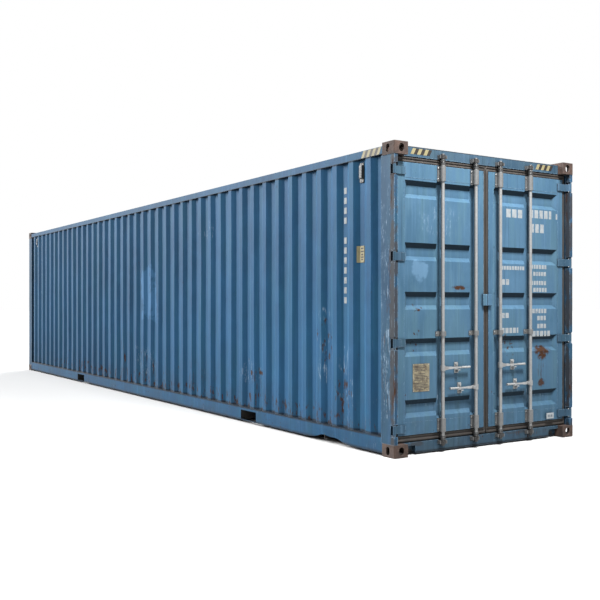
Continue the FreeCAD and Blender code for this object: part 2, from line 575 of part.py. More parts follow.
def main():
    os.makedirs("parts", exist_ok=True)
    export("bottom_corner_castings", four_corners(casting(True)))
    export("top_corner_castings", four_corners(casting(False)))
    export_pair("rear_left_post", rear_post())
    export("front_right_post", front_post())
    export("front_left_post", mirrored(front_post()))
    export_pair("left_bottom_rail", bottom_side_rail())
    export_pair("left_top_rail", top_side_rail())
    export("door_header", door_header())
    export("door_sill", door_sill())
    export("front_top_rail", turned_to_front(beam(8, 68, TOP_RAIL_Z[0], HEADER_Z[1], TUBE_WALL)))
    export("front_bottom_rail", front_bottom_rail())
    export_pair("left_side_wall", side_wall())
    export("front_wall", front_wall())
    export("roof", roof())
    export("floor", floor())
    export("cross_members", cross_members())
    export("fork_pockets", fork_pockets())
    export("gooseneck_tunnel", gooseneck_tunnel())
    pins = [hinge_pin(z, HINGE_PIN_R) for z in HINGE_HEIGHTS]
    export("hinge_pins", pins + [mirrored(p) for p in pins])
    export("cam_keepers", cam_keepers())
    export("ventilators", ventilators())

    export_pair("left_door_frame", leaf_frame())
    export_pair("left_door_panel", leaf_panel())
    export_pair("left_door_gasket", leaf_gasket())
    export_pair("left_door_hinge_blades", hinge_blades())
    for side, bars in (("left", "12"), ("right", "34")):
        export(f"{side}_door_bar_brackets", bar_brackets(bars))
        export(f"{side}_door_handle_catches", handle_catches(bars))
    export("data_plate", data_plate())
    for bar in BAR_Y:
        export(f"lock_bar_{bar}", lock_bar(bar))
        export(f"handle_{bar}", handle(bar))


main()
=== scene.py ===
"""Shipping container: the weathered finish and the small fittings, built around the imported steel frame."""

import functools
import math
import random

import bmesh
import bpy
from bpy.props import FloatProperty, FloatVectorProperty, PointerProperty
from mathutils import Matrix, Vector, noise


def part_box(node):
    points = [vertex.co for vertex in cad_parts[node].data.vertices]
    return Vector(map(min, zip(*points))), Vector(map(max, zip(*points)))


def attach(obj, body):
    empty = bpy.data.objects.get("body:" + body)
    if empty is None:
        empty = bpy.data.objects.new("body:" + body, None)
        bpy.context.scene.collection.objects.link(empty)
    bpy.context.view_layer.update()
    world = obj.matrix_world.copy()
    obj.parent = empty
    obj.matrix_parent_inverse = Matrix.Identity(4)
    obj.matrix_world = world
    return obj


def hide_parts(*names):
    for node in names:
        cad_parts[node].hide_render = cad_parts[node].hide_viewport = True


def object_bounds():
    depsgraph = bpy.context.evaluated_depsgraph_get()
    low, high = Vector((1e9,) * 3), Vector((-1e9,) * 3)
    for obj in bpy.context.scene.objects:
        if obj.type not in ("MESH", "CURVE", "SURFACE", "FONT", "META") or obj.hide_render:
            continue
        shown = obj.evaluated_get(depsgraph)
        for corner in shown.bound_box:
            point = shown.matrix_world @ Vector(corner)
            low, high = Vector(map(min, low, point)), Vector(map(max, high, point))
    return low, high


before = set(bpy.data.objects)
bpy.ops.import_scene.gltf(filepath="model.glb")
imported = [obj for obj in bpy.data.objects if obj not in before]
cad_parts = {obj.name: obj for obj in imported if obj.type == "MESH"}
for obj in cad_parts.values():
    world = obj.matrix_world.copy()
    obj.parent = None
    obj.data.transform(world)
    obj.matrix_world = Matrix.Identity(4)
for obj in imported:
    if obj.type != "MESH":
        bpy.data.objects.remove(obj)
CAD_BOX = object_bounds()

bl_info = {
    "name": "Shipping Container",
    "version": (1, 0, 0),
    "blender": (4, 5, 0),
    "location": "View3D > Sidebar > Container",
    "description": "Weathered paint, seals, gear and markings of a forty-foot steel container",
    "category": "Object",
}

# ---------------------------------------------------------------- where things are, in metres
MM = 0.001
HALF_L, HALF_W = CAD_BOX[1][:2]
PANEL_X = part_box("left_door_panel")[1].x            # outer face of the door panels
HEADER_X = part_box("door_header")[1].x
BAR_X = HALF_L - 34 * MM                            # axis of the locking bars
BAR_Y = {1: -0.600, 2: -0.168, 3: 0.168, 4: 0.600}
BAR_RADIUS = 17 * MM
BAR_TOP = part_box("lock_bar_1")[1].z
BAR_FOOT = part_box("lock_bar_1")[0].z
SLEEVES = ((0.194, 0.320), (1.100, 1.145), (2.570, 2.715))
HINGE_X, HINGE_Y = HALF_L - 22 * MM, HALF_W - 20 * MM
HINGE_HEIGHTS = (0.250, 1.045, 1.843, 2.640)
FIRST_TROUGH, RIB_PITCH = 5.560, 0.278              # middle of the trough nearest the doors
TROUGH_Y = HALF_W - 43 * MM                         # outer face of a trough of the side walls


# ---------------------------------------------------------------- colour, nodes and mesh helpers
def linear(code):
    """An sRGB hex colour as the linear red, green and blue that shaders take."""
    channels = [int(code[i:i + 2], 16) / 255 for i in (1, 3, 5)]
    return tuple(c / 12.92 if c <= 0.04045 else ((c + 0.055) / 1.055) ** 2.4 for c in channels)


def shade(colour, by, lift=0.0):
    """A colour made darker or lighter, and lifted towards grey."""
    return [channel * by + lift for channel in colour[:3]]


def per_metre(size_mm):
    """Texture scale at which one cell of a pattern is size_mm across."""
    return 1000.0 / size_mm


def add(tree, kind, *inputs, out=0, **settings):
    """Adds one node with its settings and links, and returns one of its outputs. Inputs come in order, or by
    name in a dict. A Math node is asked for by its operation, and a Mix takes share, under and over."""
    if kind.isupper():
        if len(inputs) > 2:
            inputs = (add(tree, kind, *inputs[:-1]), inputs[-1])
        kind, settings = "Math", {"operation": kind}
    feed = inputs[0] if inputs and isinstance(inputs[0], dict) else dict(enumerate(inputs))
    if kind == "Mix":
        feed, out, settings = dict(zip((0, 6, 7), inputs)), 2, {"data_type": "RGBA"}
    node = tree.nodes.new("ShaderNode" + kind)
    for name, value in settings.items():
        setattr(node, name, value)
    for key, value in feed.items():
        if isinstance(value, bpy.types.NodeSocket):
            tree.links.new(value, node.inputs[key])
        else:
            if isinstance(value, (tuple, list)) and node.inputs[key].type == "RGBA":
                value = (*value[:3], 1.0)
            node.inputs[key].default_value = value
    return node.outputs[out] if node.outputs else None


def start_material(name):
    """An empty material, the function that adds its nodes, and the position on the piece in metres."""
    material = bpy.data.materials.new(name)
    material.use_nodes = True
    material.node_tree.nodes.clear()
    node = functools.partial(add, material.node_tree)
    return material, node, node("TexCoord", out=3)


def grain(node, place, size_mm, detail=4.0, rough=0.6, stretch=(1, 1, 1), shift=(0, 0, 0)):
    """Noise with cells of size_mm; stretch makes them longer along x, y or z."""
    spot = node("Mapping", {"Vector": place, "Location": shift, "Scale": tuple(1 / s for s in stretch)})
    return node("TexNoise",
                {"Vector": spot, "Scale": per_metre(size_mm), "Detail": detail, "Roughness": rough})


def skin(node, colour, rough, height=None, lift_mm=1.0, metallic=0.0, **sockets):
    """Ends a material: the shader, and a bump whose full height is lift_mm."""
    feed = {"Base Color": colour, "Roughness": rough, "Metallic": metallic, **sockets}
    if height is not None:
        feed["Normal"] = node("Bump", {"Strength": 1.0, "Distance": lift_mm * MM, "Height": height})
    node("OutputMaterial", {"Surface": node("BsdfPrincipled", feed)})


# ---------------------------------------------------------------- settings a user would change
def finish_colour(name, description, code):
    """A colour that the user can change."""
    return FloatVectorProperty(name=name, description=description, subtype="COLOR", default=linear(code))


class ContainerFinish(bpy.types.PropertyGroup):
    """Colours of the finishes."""
    shell_coat: finish_colour("Shell enamel", "Alkyd enamel on walls, posts and rails", "#113651")
    shell_faded: finish_colour("Faded shell enamel", "The same enamel where sun has chalked it", "#17405E")
    door_coat: finish_colour("Door enamel", "Alkyd enamel on the door leaves", "#2B4456")
    door_faded: finish_colour("Faded door enamel", "The door enamel where sun has chalked it", "#354D60")
    rust: finish_colour("Rust", "Dry rust of bare weathering steel", "#281D17")
    zinc: finish_colour("Zinc", "Dull hot-dip galvanising of the door gear", "#7C7D7D")
    rubber: finish_colour("Seal rubber", "EPDM door seals", "#151311")
    marking: finish_colour("Marking paint", "White marking enamel", "#74797C")
    amber: finish_colour("Amber enamel", "Amber of the hazard stripes and side plate", "#6F684C")
    studio: finish_colour("Studio floor", "Pale floor", "#A1A1A1")


class ContainerStudio(bpy.types.PropertyGroup):
    """Camera and light."""
    camera_place: FloatVectorProperty(
        name="Camera place", description="Where the camera stands", subtype="TRANSLATION", unit="LENGTH",
        default=(12.058, -6.080, 1.413))
    camera_turn: FloatProperty(
        name="Camera turn", description="Heading of the camera about the vertical", subtype="ANGLE",
        default=math.radians(57.19))
    lens: FloatProperty(name="Lens", description="Focal length in millimetres", default=50.6)
    sky: FloatProperty(name="Sky", description="Strength of the even white surround", default=1.0)
    key: FloatProperty(name="Key light", description="Strength of the soft light on the long side",
                       default=11.0)
    back: FloatProperty(name="Back light", description="Strength of the soft light on the hidden side",
                        default=4.0)
    fill: FloatProperty(name="Door light", description="Power of the soft light over the doors, in watts",
                        default=470.0)


# ---------------------------------------------------------------- finishes
def weathered_enamel(part, coat, faded, rust, low_from, low_to, wear, places=(), inside=None, edge_mm=0.0,
                     bands=(), tall=1.0, fold=False):
    """Alkyd enamel sprayed on blasted weathering steel and left years in salt air: chalky and uneven, streaked
    by rain, dirty low down, scuffed by lashings, with chips that have rusted and bled.

    Dirt fades out between the heights low_from and low_to. Inside is the axis along which the inner side of the
    sheet is told, and whether it lies on both sides of the middle. Bands are heights and strength of painted
    shade along joints, tall stretches the chips upwards, and fold marks a pressed sheet, whose folds get a
    painted highlight. Undersides and inner corners are darkened as painted shade."""
    material, node, place = start_material("Weathered Alkyd Enamel, " + part)
    spot = node("SeparateXYZ", place).node.outputs
    broad = grain(node, place, 1500, 3)
    cloud = grain(node, place, 260, 5, 0.65, shift=(3, 7, 1))
    speck = grain(node, place, 38, 6, 0.62, stretch=(1, 1, tall), shift=(1, 2, 9))
    fine = grain(node, place, 9, 4, 0.6)
    runs = grain(node, place, 46, 4, 0.6, stretch=(1, 1, 22))
    low = node("MapRange", spot[2], low_to, low_from)

    colour = node("Mix", node("MapRange", broad, 0.35, 0.65), coat, faded)
    colour = node("Mix", node("MapRange", cloud, 0.42, 0.72, 0, 0.45), colour, shade(faded, 1.22))
    tone = grain(node, place, 120, 4, 0.6, stretch=(1, 1, 7), shift=(8, 1, 4))
    teal = (faded[0] * 1.1, faded[1] * 1.08, faded[2] * 0.90)
    colour = node("Mix", node("MapRange", tone, 0.45, 0.62, 0, 0.55), colour, teal)
    colour = node("Mix", node("MapRange", runs, 0.52, 0.75, 0, 0.40 * wear), colour, shade(faded, 1.45, 0.01))
    drain = grain(node, place, 30, 4, 0.65, stretch=(1, 1, 30), shift=(5, 5, 0))
    colour = node("Mix", node("MapRange", drain, 0.56, 0.78, 0, 0.5 * wear), colour, shade(coat, 0.42))
    grime = node("MULTIPLY", low, node("MapRange", cloud, 0.38, 0.68), 0.62)
    colour = node("Mix", grime, colour, shade(coat, 0.40, 0.006))

    # Scuffs: long thin scratches down to the pale primer, more of them low down where straps and forks rub.
    lines = grain(node, place, 11, 3, 0.75, stretch=(1, 1, 14), shift=(2, 2, 2))
    rubbed = node("MapRange", cloud, 0.50, 0.62)
    scuff = node("MULTIPLY", node("MapRange", lines, 0.63, 0.69), rubbed,
                 node("MapRange", low, 0, 1, 0.15, 0.5), wear)
    colour = node("Mix", scuff, colour, linear("#6F8090"))

    # Chips of 10 to 60 mm with a rusted bed, and the brown bleed under them.
    bared = node("ADD", speck, node("MULTIPLY", low, 0.055))
    chips = node("MapRange", bared, 0.735 - 0.02 * wear, 0.755 - 0.02 * wear)
    halo = node("MapRange", bared, 0.685, 0.75, 0, 0.5)
    streaked = grain(node, place, 34, 5, 0.7, stretch=(1, 1, 9), shift=(1, 2, 9))
    bleed = node("MapRange", streaked, 0.70, 0.78, 0, 0.5 * wear)
    rust_tone = node("Mix", node("MapRange", fine, 0.3, 0.7), shade(rust, 0.35),
                      (rust[0] * 2.2, rust[1] * 1.7, rust[2] * 1.3))
    bare = chips

    for kind, axis, across, up, half_across, half_up, strength in places:
        # One worn place: an oval whose edge is broken up by the noise; drips hang below the rust ones.
        reach = node("SUBTRACT", spot[axis], across)
        reach = node("MULTIPLY", reach, 1 / half_across)
        rise = node("SUBTRACT", spot[2], up)
        rise = node("MULTIPLY", rise, 1 / half_up)
        ring = node("ADD", node("MULTIPLY", reach, reach), node("MULTIPLY", rise, rise))
        rag = speck if kind in ("rust", "chip") else cloud
        rags = 0.9 if kind == "rust" else 1.2
        ring = node("ADD", ring, node("MapRange", rag, 0.3, 0.7, rags, -rags * 0.5))
        mask = node("MapRange", ring, 1.0, 0.6, 0, strength)
        if kind == "rust":
            bare = node("MAXIMUM", bare, mask)
            halo = node("MAXIMUM", halo, node("MapRange", ring, 1.5, 0.9, 0, 0.35 * strength))
        elif kind == "chip":
            spots = node("MULTIPLY", mask, node("MapRange", speck, 0.56, 0.60))
            bare = node("MAXIMUM", bare, spots)
        elif kind == "pale":
            colour = node("Mix", mask, colour, shade(faded, 1.5, 0.012))
        elif kind == "scrape":
            marks = node("MULTIPLY", mask, node("MapRange", lines, 0.57, 0.63),
                         node("MapRange", speck, 0.40, 0.55))
            colour = node("Mix", marks, colour, linear("#6F8090"))
        elif kind == "drip":
            strands = node("MULTIPLY", mask, node("MapRange", streaked, 0.54, 0.62))
            bare = node("MAXIMUM", bare, strands)
        else:
            # Dark patches of dirt; the two at the sill's ends are painted shade of a recess.
            colour = node("Mix", mask, colour, linear("#2A2827"))

    for low_edge, high_edge, strength in bands:
        # Painted shade along a joint: full in the band's middle and gone at its edges.
        up = node("SUBTRACT", spot[2], (low_edge + high_edge) / 2)
        up = node("ABSOLUTE", up)
        held = node("MapRange", up, (high_edge - low_edge) / 2, (high_edge - low_edge) / 5, 0, strength)
        colour = node("Mix", node("MULTIPLY", held, node("MapRange", speck, 0.30, 0.50, 0.5, 1.0)), colour,
                       linear("#141414"))

    if edge_mm:
        # Where the rounded normal parts from the flat one: edges worn through by handling,
        # and on folds a painted highlight.
        bevel = node("Bevel", {"Radius": edge_mm * MM}, samples=3)
        flat = node("NewGeometry", out=1)
        turn = node("VectorMath", bevel, flat, out=1, operation="DOT_PRODUCT")
        if fold:
            # Folds of a pressed sheet turn by 28 degrees; along them lighter enamel is a painted highlight,
            # where the bends catch light.
            edge = node("MULTIPLY", node("MapRange", turn, 0.996, 0.975), node("MapRange", runs, 0.40, 0.60))
            colour = node("Mix", node("MULTIPLY", edge, 0.6), colour, shade(faded, 1.7, 0.01))
        else:
            edge = node("MULTIPLY", node("MapRange", turn, 0.985, 0.90), node("MapRange", speck, 0.42, 0.58))
            colour = node("Mix", node("MULTIPLY", edge, 0.55), colour, linear("#7F97AB"))
            bare = node("MAXIMUM", bare, node("MULTIPLY", edge, node("MapRange", cloud, 0.50, 0.60)))

    colour = node("Mix", node("MAXIMUM", halo, bleed), colour, shade(rust, 0.9))
    colour = node("Mix", bare, colour, rust_tone)
    rough = node("MapRange", node("MAXIMUM", bare, scuff), 0, 1, 0.58, 0.9)
    # Painted shade: surfaces facing downwards, such as the undersides of the pressings, are darkened.
    down = node("SeparateXYZ", node("TexCoord", out=1)).node.outputs[2]
    colour = node("Mix", node("MapRange", down, -0.10, -0.45, 0, 0.92), colour, shade(coat, 0.2))
    # Painted shade in every inner corner, within 45 mm of it, broken up by the speck noise.
    open_air = node("AmbientOcclusion", {"Distance": 45 * MM}, out=1, samples=4)
    corner = node("MULTIPLY", node("MapRange", open_air, 0.85, 0.35),
                  node("MapRange", speck, 0.25, 0.55, 0.6, 1.0), 0.8)
    colour = node("Mix", corner, colour, shade(coat, 0.15, 0.002))
    if inside:
        # The inner side of the sheet has plain light grey enamel.
        axis, mirrored_halves = inside
        facing = node("SeparateXYZ", node("TexCoord", out=1)).node.outputs[axis]
        if mirrored_halves:
            facing = node("MULTIPLY", facing, spot[axis])
        inner = node("MapRange", facing, -0.02, -0.10)
        lining = node("Mix", node("MapRange", cloud, 0.35, 0.7), linear("#757C7E"), linear("#878E8F"))
        colour = node("Mix", inner, colour, lining)
    # The enamel follows the dents left by handling and stands 0.3 mm above its chips.
    dents = node("ADD", node("MULTIPLY", cloud, 2.5), node("MULTIPLY", fine, 0.30))
    height = node("SUBTRACT", dents, node("MULTIPLY", bare, 0.6))
    skin(node, colour, rough, height, 1.0, **{"Specular IOR Level": 0.08})
    return material


def cast_steel(name, rust):
    """Cast steel corner, sand-cast and painted once: the paint has gone from its faces and left pitted rust."""
    material, node, place = start_material(name)
    cloud = grain(node, place, 60, 6, 0.65)
    pits = grain(node, place, 7, 5, 0.7)
    colour = node("Mix", node("MapRange", cloud, 0.35, 0.65), linear("#241B18"), linear("#3D2E27"))
    colour = node("Mix", node("MapRange", pits, 0.5, 0.75, 0, 0.7), colour, rust)
    bevel = node("Bevel", {"Radius": 8 * MM}, samples=3)
    turn = node("VectorMath", bevel, node("NewGeometry", out=1), out=1, operation="DOT_PRODUCT")
    colour = node("Mix", node("MapRange", turn, 0.98, 0.9, 0, 0.5), colour, linear("#56514D"))
    skin(node, colour, node("MapRange", pits, 0.3, 0.7, 0.75, 0.95), pits, 1.6, **{"Specular IOR Level": 0.3})
    return material


def dull_zinc(name, zinc, rust, rusty=0.5, dark_ends=False):
    """Forged steel, hot-dip galvanised: matt grey spangle, with brown rust where the zinc has worn."""
    material, node, place = start_material(name)
    spangle = node("TexVoronoi", {"Vector": place, "Scale": per_metre(14)}, out=1)
    tint = node("SeparateXYZ", spangle).node.outputs[0]
    cloud = grain(node, place, 90, 5, 0.65, stretch=(1, 1, 3))
    fine = grain(node, place, 8, 4)
    colour = node("Mix", node("MapRange", tint, 0, 1, 0.2, 0.8), shade(zinc, 0.86), shade(zinc, 1.14))
    worn = node("MULTIPLY", node("MapRange", cloud, 0.54, 0.70), node("MapRange", fine, 0.35, 0.6), rusty)
    colour = node("Mix", worn, colour, shade(rust, 0.8))
    dirt = node("MapRange", grain(node, place, 40, 4, 0.6, stretch=(1, 1, 8)), 0.5, 0.75, 0, 0.45)
    colour = node("Mix", dirt, colour, linear("#3D3A38"))
    if dark_ends:
        # The cams are greased, and the grease has gone black.
        up = node("SeparateXYZ", place).node.outputs[2]
        ends = node("MAXIMUM", node("MapRange", up, 2.752, 2.762), node("MapRange", up, 0.150, 0.140))
        colour = node("Mix", node("MULTIPLY", ends, node("MapRange", fine, 0.3, 0.6, 0.7, 1.0)), colour,
                      linear("#191716"))
    metal = node("MapRange", node("MAXIMUM", worn, dirt), 0, 0.6, 0.6, 0.0)
    skin(node, colour, node("MapRange", fine, 0.3, 0.7, 0.34, 0.60), fine, 0.4, metallic=metal)
    return material


def seal_rubber(name, rubber):
    """EPDM rubber, extruded: matt black that has gone brown-grey with dust and rust water."""
    material, node, place = start_material(name)
    dust = grain(node, place, 120, 5, 0.65, stretch=(1, 1, 4))
    fine = grain(node, place, 6, 3)
    colour = node("Mix", node("MapRange", dust, 0.35, 0.7), rubber, linear("#2B2622"))
    skin(node, colour, node("MapRange", fine, 0.3, 0.7, 0.7, 0.85), fine, 0.4, **{"Specular IOR Level": 0.35})
    return material


def underseal(name, dark="#181716", dusty="#36312C"):
    """Bitumen underseal, brushed on thick over the cross members: nearly black, lumpy, dulled by road dust.
    Dried mud has the same lumps in browns."""
    material, node, place = start_material(name)
    lumps = grain(node, place, 18, 4)
    dust = grain(node, place, 300, 5, 0.65)
    colour = node("Mix", node("MapRange", dust, 0.4, 0.7), linear(dark), linear(dusty))
    skin(node, colour, 0.8, lumps, 1.5)
    return material


def plywood(name):
    """Marine plywood floor, 28 mm, of tropical hardwood: red-brown, long grain, scuffed dark by wheels."""
    material, node, place = start_material(name)
    # Real growth lines are 2 mm apart; they are drawn 12 mm apart so that they show.
    lines = grain(node, place, 12, 5, 0.65, stretch=(30, 1, 1))
    wear = grain(node, place, 420, 5, 0.65, stretch=(4, 1, 1))
    joint = node("TexBrick", {"Vector": place, "Scale": 1.0, "Mortar Size": 0.004, "Brick Width": 2.4,
                                   "Row Height": 1.16}, out=1, offset=0.0)
    colour = node("Mix", node("MapRange", lines, 0.35, 0.65), linear("#5B3F2C"), linear("#7A5A40"))
    colour = node("Mix", node("MapRange", wear, 0.45, 0.7, 0, 0.6), colour, linear("#3A2C24"))
    colour = node("Mix", joint, colour, linear("#1B1613"))
    skin(node, colour, node("MapRange", wear, 0.3, 0.7, 0.55, 0.75), lines, 0.6)
    return material


def moulded_plastic(name, code):
    """ABS vent cover, injection moulded: fine even texture, greyed by sun, dirt settled in it."""
    material, node, place = start_material(name)
    # The mould texture is 0.3 mm; it is drawn at 3 mm so that it shows.
    grit = grain(node, place, 3, 2)
    dirt = grain(node, place, 45, 5, 0.6, stretch=(1, 1, 3))
    colour = node("Mix", node("MapRange", dirt, 0.42, 0.72, 0, 0.7), linear(code), shade(linear(code), 0.35))
    skin(node, colour, 0.55, grit, 0.2, IOR=1.53)
    return material


def stamped_plate(name, rust):
    """Stainless approval plate, stamped: dull cream-grey with rust water dried round its rows."""
    material, node, place = start_material(name)
    stain = grain(node, place, 40, 6, 0.7)
    brushed = grain(node, place, 2.5, 3, stretch=(1, 25, 1))
    colour = node("Mix", node("MapRange", stain, 0.42, 0.68), linear("#79725D"), shade(rust, 1.3))
    colour = node("Mix", node("MapRange", brushed, 0.4, 0.7, 0, 0.55), colour, linear("#2E2922"))
    skin(node, colour, 0.55, brushed, 0.1, metallic=0.3)
    return material


def worn_marking(name, paint, under, worn=0.5):
    """Enamel put on by stencil: thin, so the blue shows through its scratches and rubbed patches."""
    material, node, place = start_material(name)
    rub = grain(node, place, 45, 6, 0.7)
    lines = grain(node, place, 9, 3, 0.7, stretch=(1, 1, 8))
    gone = node("MAXIMUM", node("MapRange", rub, 0.60, 0.66, 0, worn),
                node("MapRange", lines, 0.64, 0.70, 0, worn))
    chalk = node("Mix", node("MapRange", rub, 0.3, 0.6), paint, shade(paint, 0.78))
    skin(node, node("Mix", gone, chalk, under), 0.6, rub, 0.1, **{"Specular IOR Level": 0.25})
    return material


def studio_floor(name, colour):
    """Matt seamless paper, with a faint cloudiness."""
    material, node, place = start_material(name)
    cloud = grain(node, place, 4000, 2)
    tone = node("Mix", node("MapRange", cloud, 0.3, 0.7), colour, shade(colour, 0.985))
    skin(node, tone, 0.95, **{"Specular IOR Level": 0.0})
    return material


# Worn places: kind, axis across (0 along the length, 1 over the width), centre across, height, half sizes
# across and up, strength.
SIDE_PLACES = (
    ("pale", 0, 0.31, 1.50, 0.46, 0.48, 0.75),
    ("drip", 0, -0.73, 0.585, 0.14, 0.24, 1.0),
    ("drip", 0, 0.16, 0.55, 0.12, 0.27, 1.0),
    ("drip", 0, 0.60, 0.45, 0.12, 0.25, 1.0),
    ("rust", 0, 3.44, 0.60, 0.035, 0.035, 1.0),
    ("rust", 0, 3.62, 0.605, 0.045, 0.030, 1.0),
    ("drip", 0, 3.54, 0.47, 0.16, 0.20, 1.0),
    ("drip", 0, 2.60, 0.50, 0.16, 0.20, 1.0),
    ("drip", 0, 1.85, 0.45, 0.25, 0.20, 0.9),
    ("chip", 0, 4.95, 1.02, 0.14, 0.22, 1.0),
    ("drip", 0, 4.95, 0.95, 0.07, 0.16, 0.8),
    ("drip", 0, 4.75, 0.45, 0.20, 0.20, 0.6),
    ("chip", 0, 5.30, 0.50, 0.14, 0.26, 0.9),
    ("scrape", 0, 4.95, 1.00, 0.14, 0.45, 1.0),
    ("scrape", 0, 5.34, 0.60, 0.14, 0.45, 0.9),
    ("scrape", 0, 3.5, 0.62, 0.40, 0.22, 0.9),
    ("scrape", 0, 0.2, 0.60, 0.50, 0.30, 0.8),
    ("scrape", 0, 2.2, 2.35, 0.25, 0.20, 0.8),
    ("chip", 0, 3.0, 0.26, 2.8, 0.10, 0.9),
    ("chip", 0, -2.0, 0.28, 2.6, 0.12, 0.8),
)
POST_PLACES = (
    ("scrape", 0, 5.975, 1.45, 0.10, 1.60, 1.0),
    ("scrape", 0, 5.985, 0.75, 0.12, 0.50, 1.0),
    ("drip", 0, 5.985, 0.80, 0.09, 0.55, 0.7),
    ("drip", 0, 6.000, 1.60, 0.06, 0.40, 0.6),
    ("dirt", 0, 6.062, 1.45, 0.045, 2.60, 0.8),
    ("drip", 0, 6.055, 2.40, 0.05, 0.40, 1.0),
    ("drip", 0, 6.055, 0.60, 0.05, 0.50, 1.0),
)
BEAM_PLACES = (
    # The first two patches, at the sill's ends beside the castings, are painted shade of a recess.
    ("dirt", 1, -0.985, 0.030, 0.085, 0.050, 1.0),
    ("dirt", 1, 0.985, 0.030, 0.085, 0.050, 1.0),
    ("dirt", 1, -0.900, 0.100, 0.120, 0.030, 0.6),
    ("dirt", 1, 0.350, 0.100, 0.300, 0.025, 0.5),
    ("drip", 1, 0.500, 0.080, 0.400, 0.050, 0.9),
)
DOOR_PLACES = (
    ("rust", 1, 0.815, 0.920, 0.125, 0.055, 1.0),
    ("rust", 1, 0.812, 0.870, 0.075, 0.050, 1.0),
    ("rust", 1, 0.800, 0.590, 0.060, 0.045, 0.9),
    ("drip", 1, 0.812, 0.740, 0.080, 0.180, 1.0),
    ("pale", 1, -0.840, 1.705, 0.11, 0.14, 0.6),
    ("rust", 1, -0.355, 1.565, 0.10, 0.022, 1.0),
    ("chip", 1, -0.880, 1.370, 0.06, 0.05, 1.0),
    ("chip", 1, -0.900, 1.080, 0.05, 0.12, 1.0),
    ("chip", 1, 0.330, 1.000, 0.10, 0.12, 0.9),
    ("scrape", 1, -0.560, 2.200, 0.35, 0.20, 0.45),
    ("scrape", 1, -0.700, 0.480, 0.35, 0.06, 0.9),
    ("scrape", 1, 0.600, 0.480, 0.35, 0.06, 0.8),
)
MATERIALS = {}


def paint(names, material):
    """Gives CAD nodes their finish."""
    for name in names:
        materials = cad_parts[name].data.materials
        materials.clear()
        materials.append(material)


class CONTAINER_OT_paint_shell(bpy.types.Operator):
    """Weathered blue enamel on the walls, roof, posts, rails and end beams"""
    bl_idname = "container.paint_shell"
    bl_label = "Paint the Shell"

    def execute(self, context):
        f = context.scene.container_finish
        coat, faded, rust = tuple(f.shell_coat), tuple(f.shell_faded), tuple(f.rust)
        post_coat = [0.40 * c + 0.28 * d for c, d in zip(coat, f.door_coat)]
        post_faded = [0.40 * c + 0.32 * d for c, d in zip(faded, f.door_faded)]
        MATERIALS.update(
            side=weathered_enamel("Side Sheets", coat, faded, rust, 0.15, 1.0, 0.8, SIDE_PLACES,
                                  inside=(1, True), tall=3.0, edge_mm=9, fold=True,
                                  bands=((0.176, 0.206, 0.75), (2.775, 2.800, 0.6))),
            post=weathered_enamel("Posts", post_coat, post_faded, rust, 0.1, 1.6, 1.4, POST_PLACES,
                                  edge_mm=10, tall=3.0),
            rail=weathered_enamel("Rails", shade(coat, 0.85), shade(faded, 0.85), rust, 0.05, 0.3, 1.3,
                                  bands=((0.160, 0.200, 0.85), (-0.03, 0.052, 0.8), (2.785, 2.803, 0.7))),
            end=weathered_enamel("Front Sheet", coat, faded, rust, 0.15, 1.0, 1.0, inside=(0, True)),
            top=weathered_enamel("Roof", faded, shade(faded, 1.1), rust, -2, -1, 1.0, inside=(2, False)),
            beam=weathered_enamel("End Beams", shade(f.door_coat, 0.52), shade(f.door_faded, 0.56, 0.006),
                                  rust, 0.0, 0.35, 1.5, BEAM_PLACES, edge_mm=8,
                                  bands=((0.001, 0.036, 0.8), (2.860, 2.890, 0.95))))
        paint(("left_side_wall", "right_side_wall"), MATERIALS["side"])
        paint(("rear_left_post", "rear_right_post", "front_left_post", "front_right_post"), MATERIALS["post"])
        paint(("left_bottom_rail", "right_bottom_rail", "left_top_rail", "right_top_rail"), MATERIALS["rail"])
        paint(("front_wall",), MATERIALS["end"])
        paint(("roof",), MATERIALS["top"])
        paint(("door_header", "door_sill", "front_top_rail", "front_bottom_rail"), MATERIALS["beam"])
        return {"FINISHED"}


class CONTAINER_OT_paint_doors(bpy.types.Operator):
    """Weathered blue enamel on both leaves and their hinge blades"""
    bl_idname = "container.paint_doors"
    bl_label = "Paint the Doors"

    def execute(self, context):
        f = context.scene.container_finish
        coat, faded, rust = tuple(f.door_coat), tuple(f.door_faded), tuple(f.rust)
        MATERIALS.update(
            leaf=weathered_enamel("Door Panels", coat, faded, rust, -0.4, 1.0, 0.9, DOOR_PLACES,
                                  inside=(0, False)),
            stile=weathered_enamel("Door Frames", coat, faded, rust, 0.1, 1.0, 1.2, edge_mm=7),
            blade=weathered_enamel("Hinge Blades", shade(coat, 0.62), shade(faded, 0.75), rust, 0.1, 3.0, 1.8,
                                   edge_mm=7))
        paint(("left_door_panel", "right_door_panel"), MATERIALS["leaf"])
        paint(("left_door_frame", "right_door_frame"), MATERIALS["stile"])
        paint(("left_door_hinge_blades", "right_door_hinge_blades"), MATERIALS["blade"])
        return {"FINISHED"}


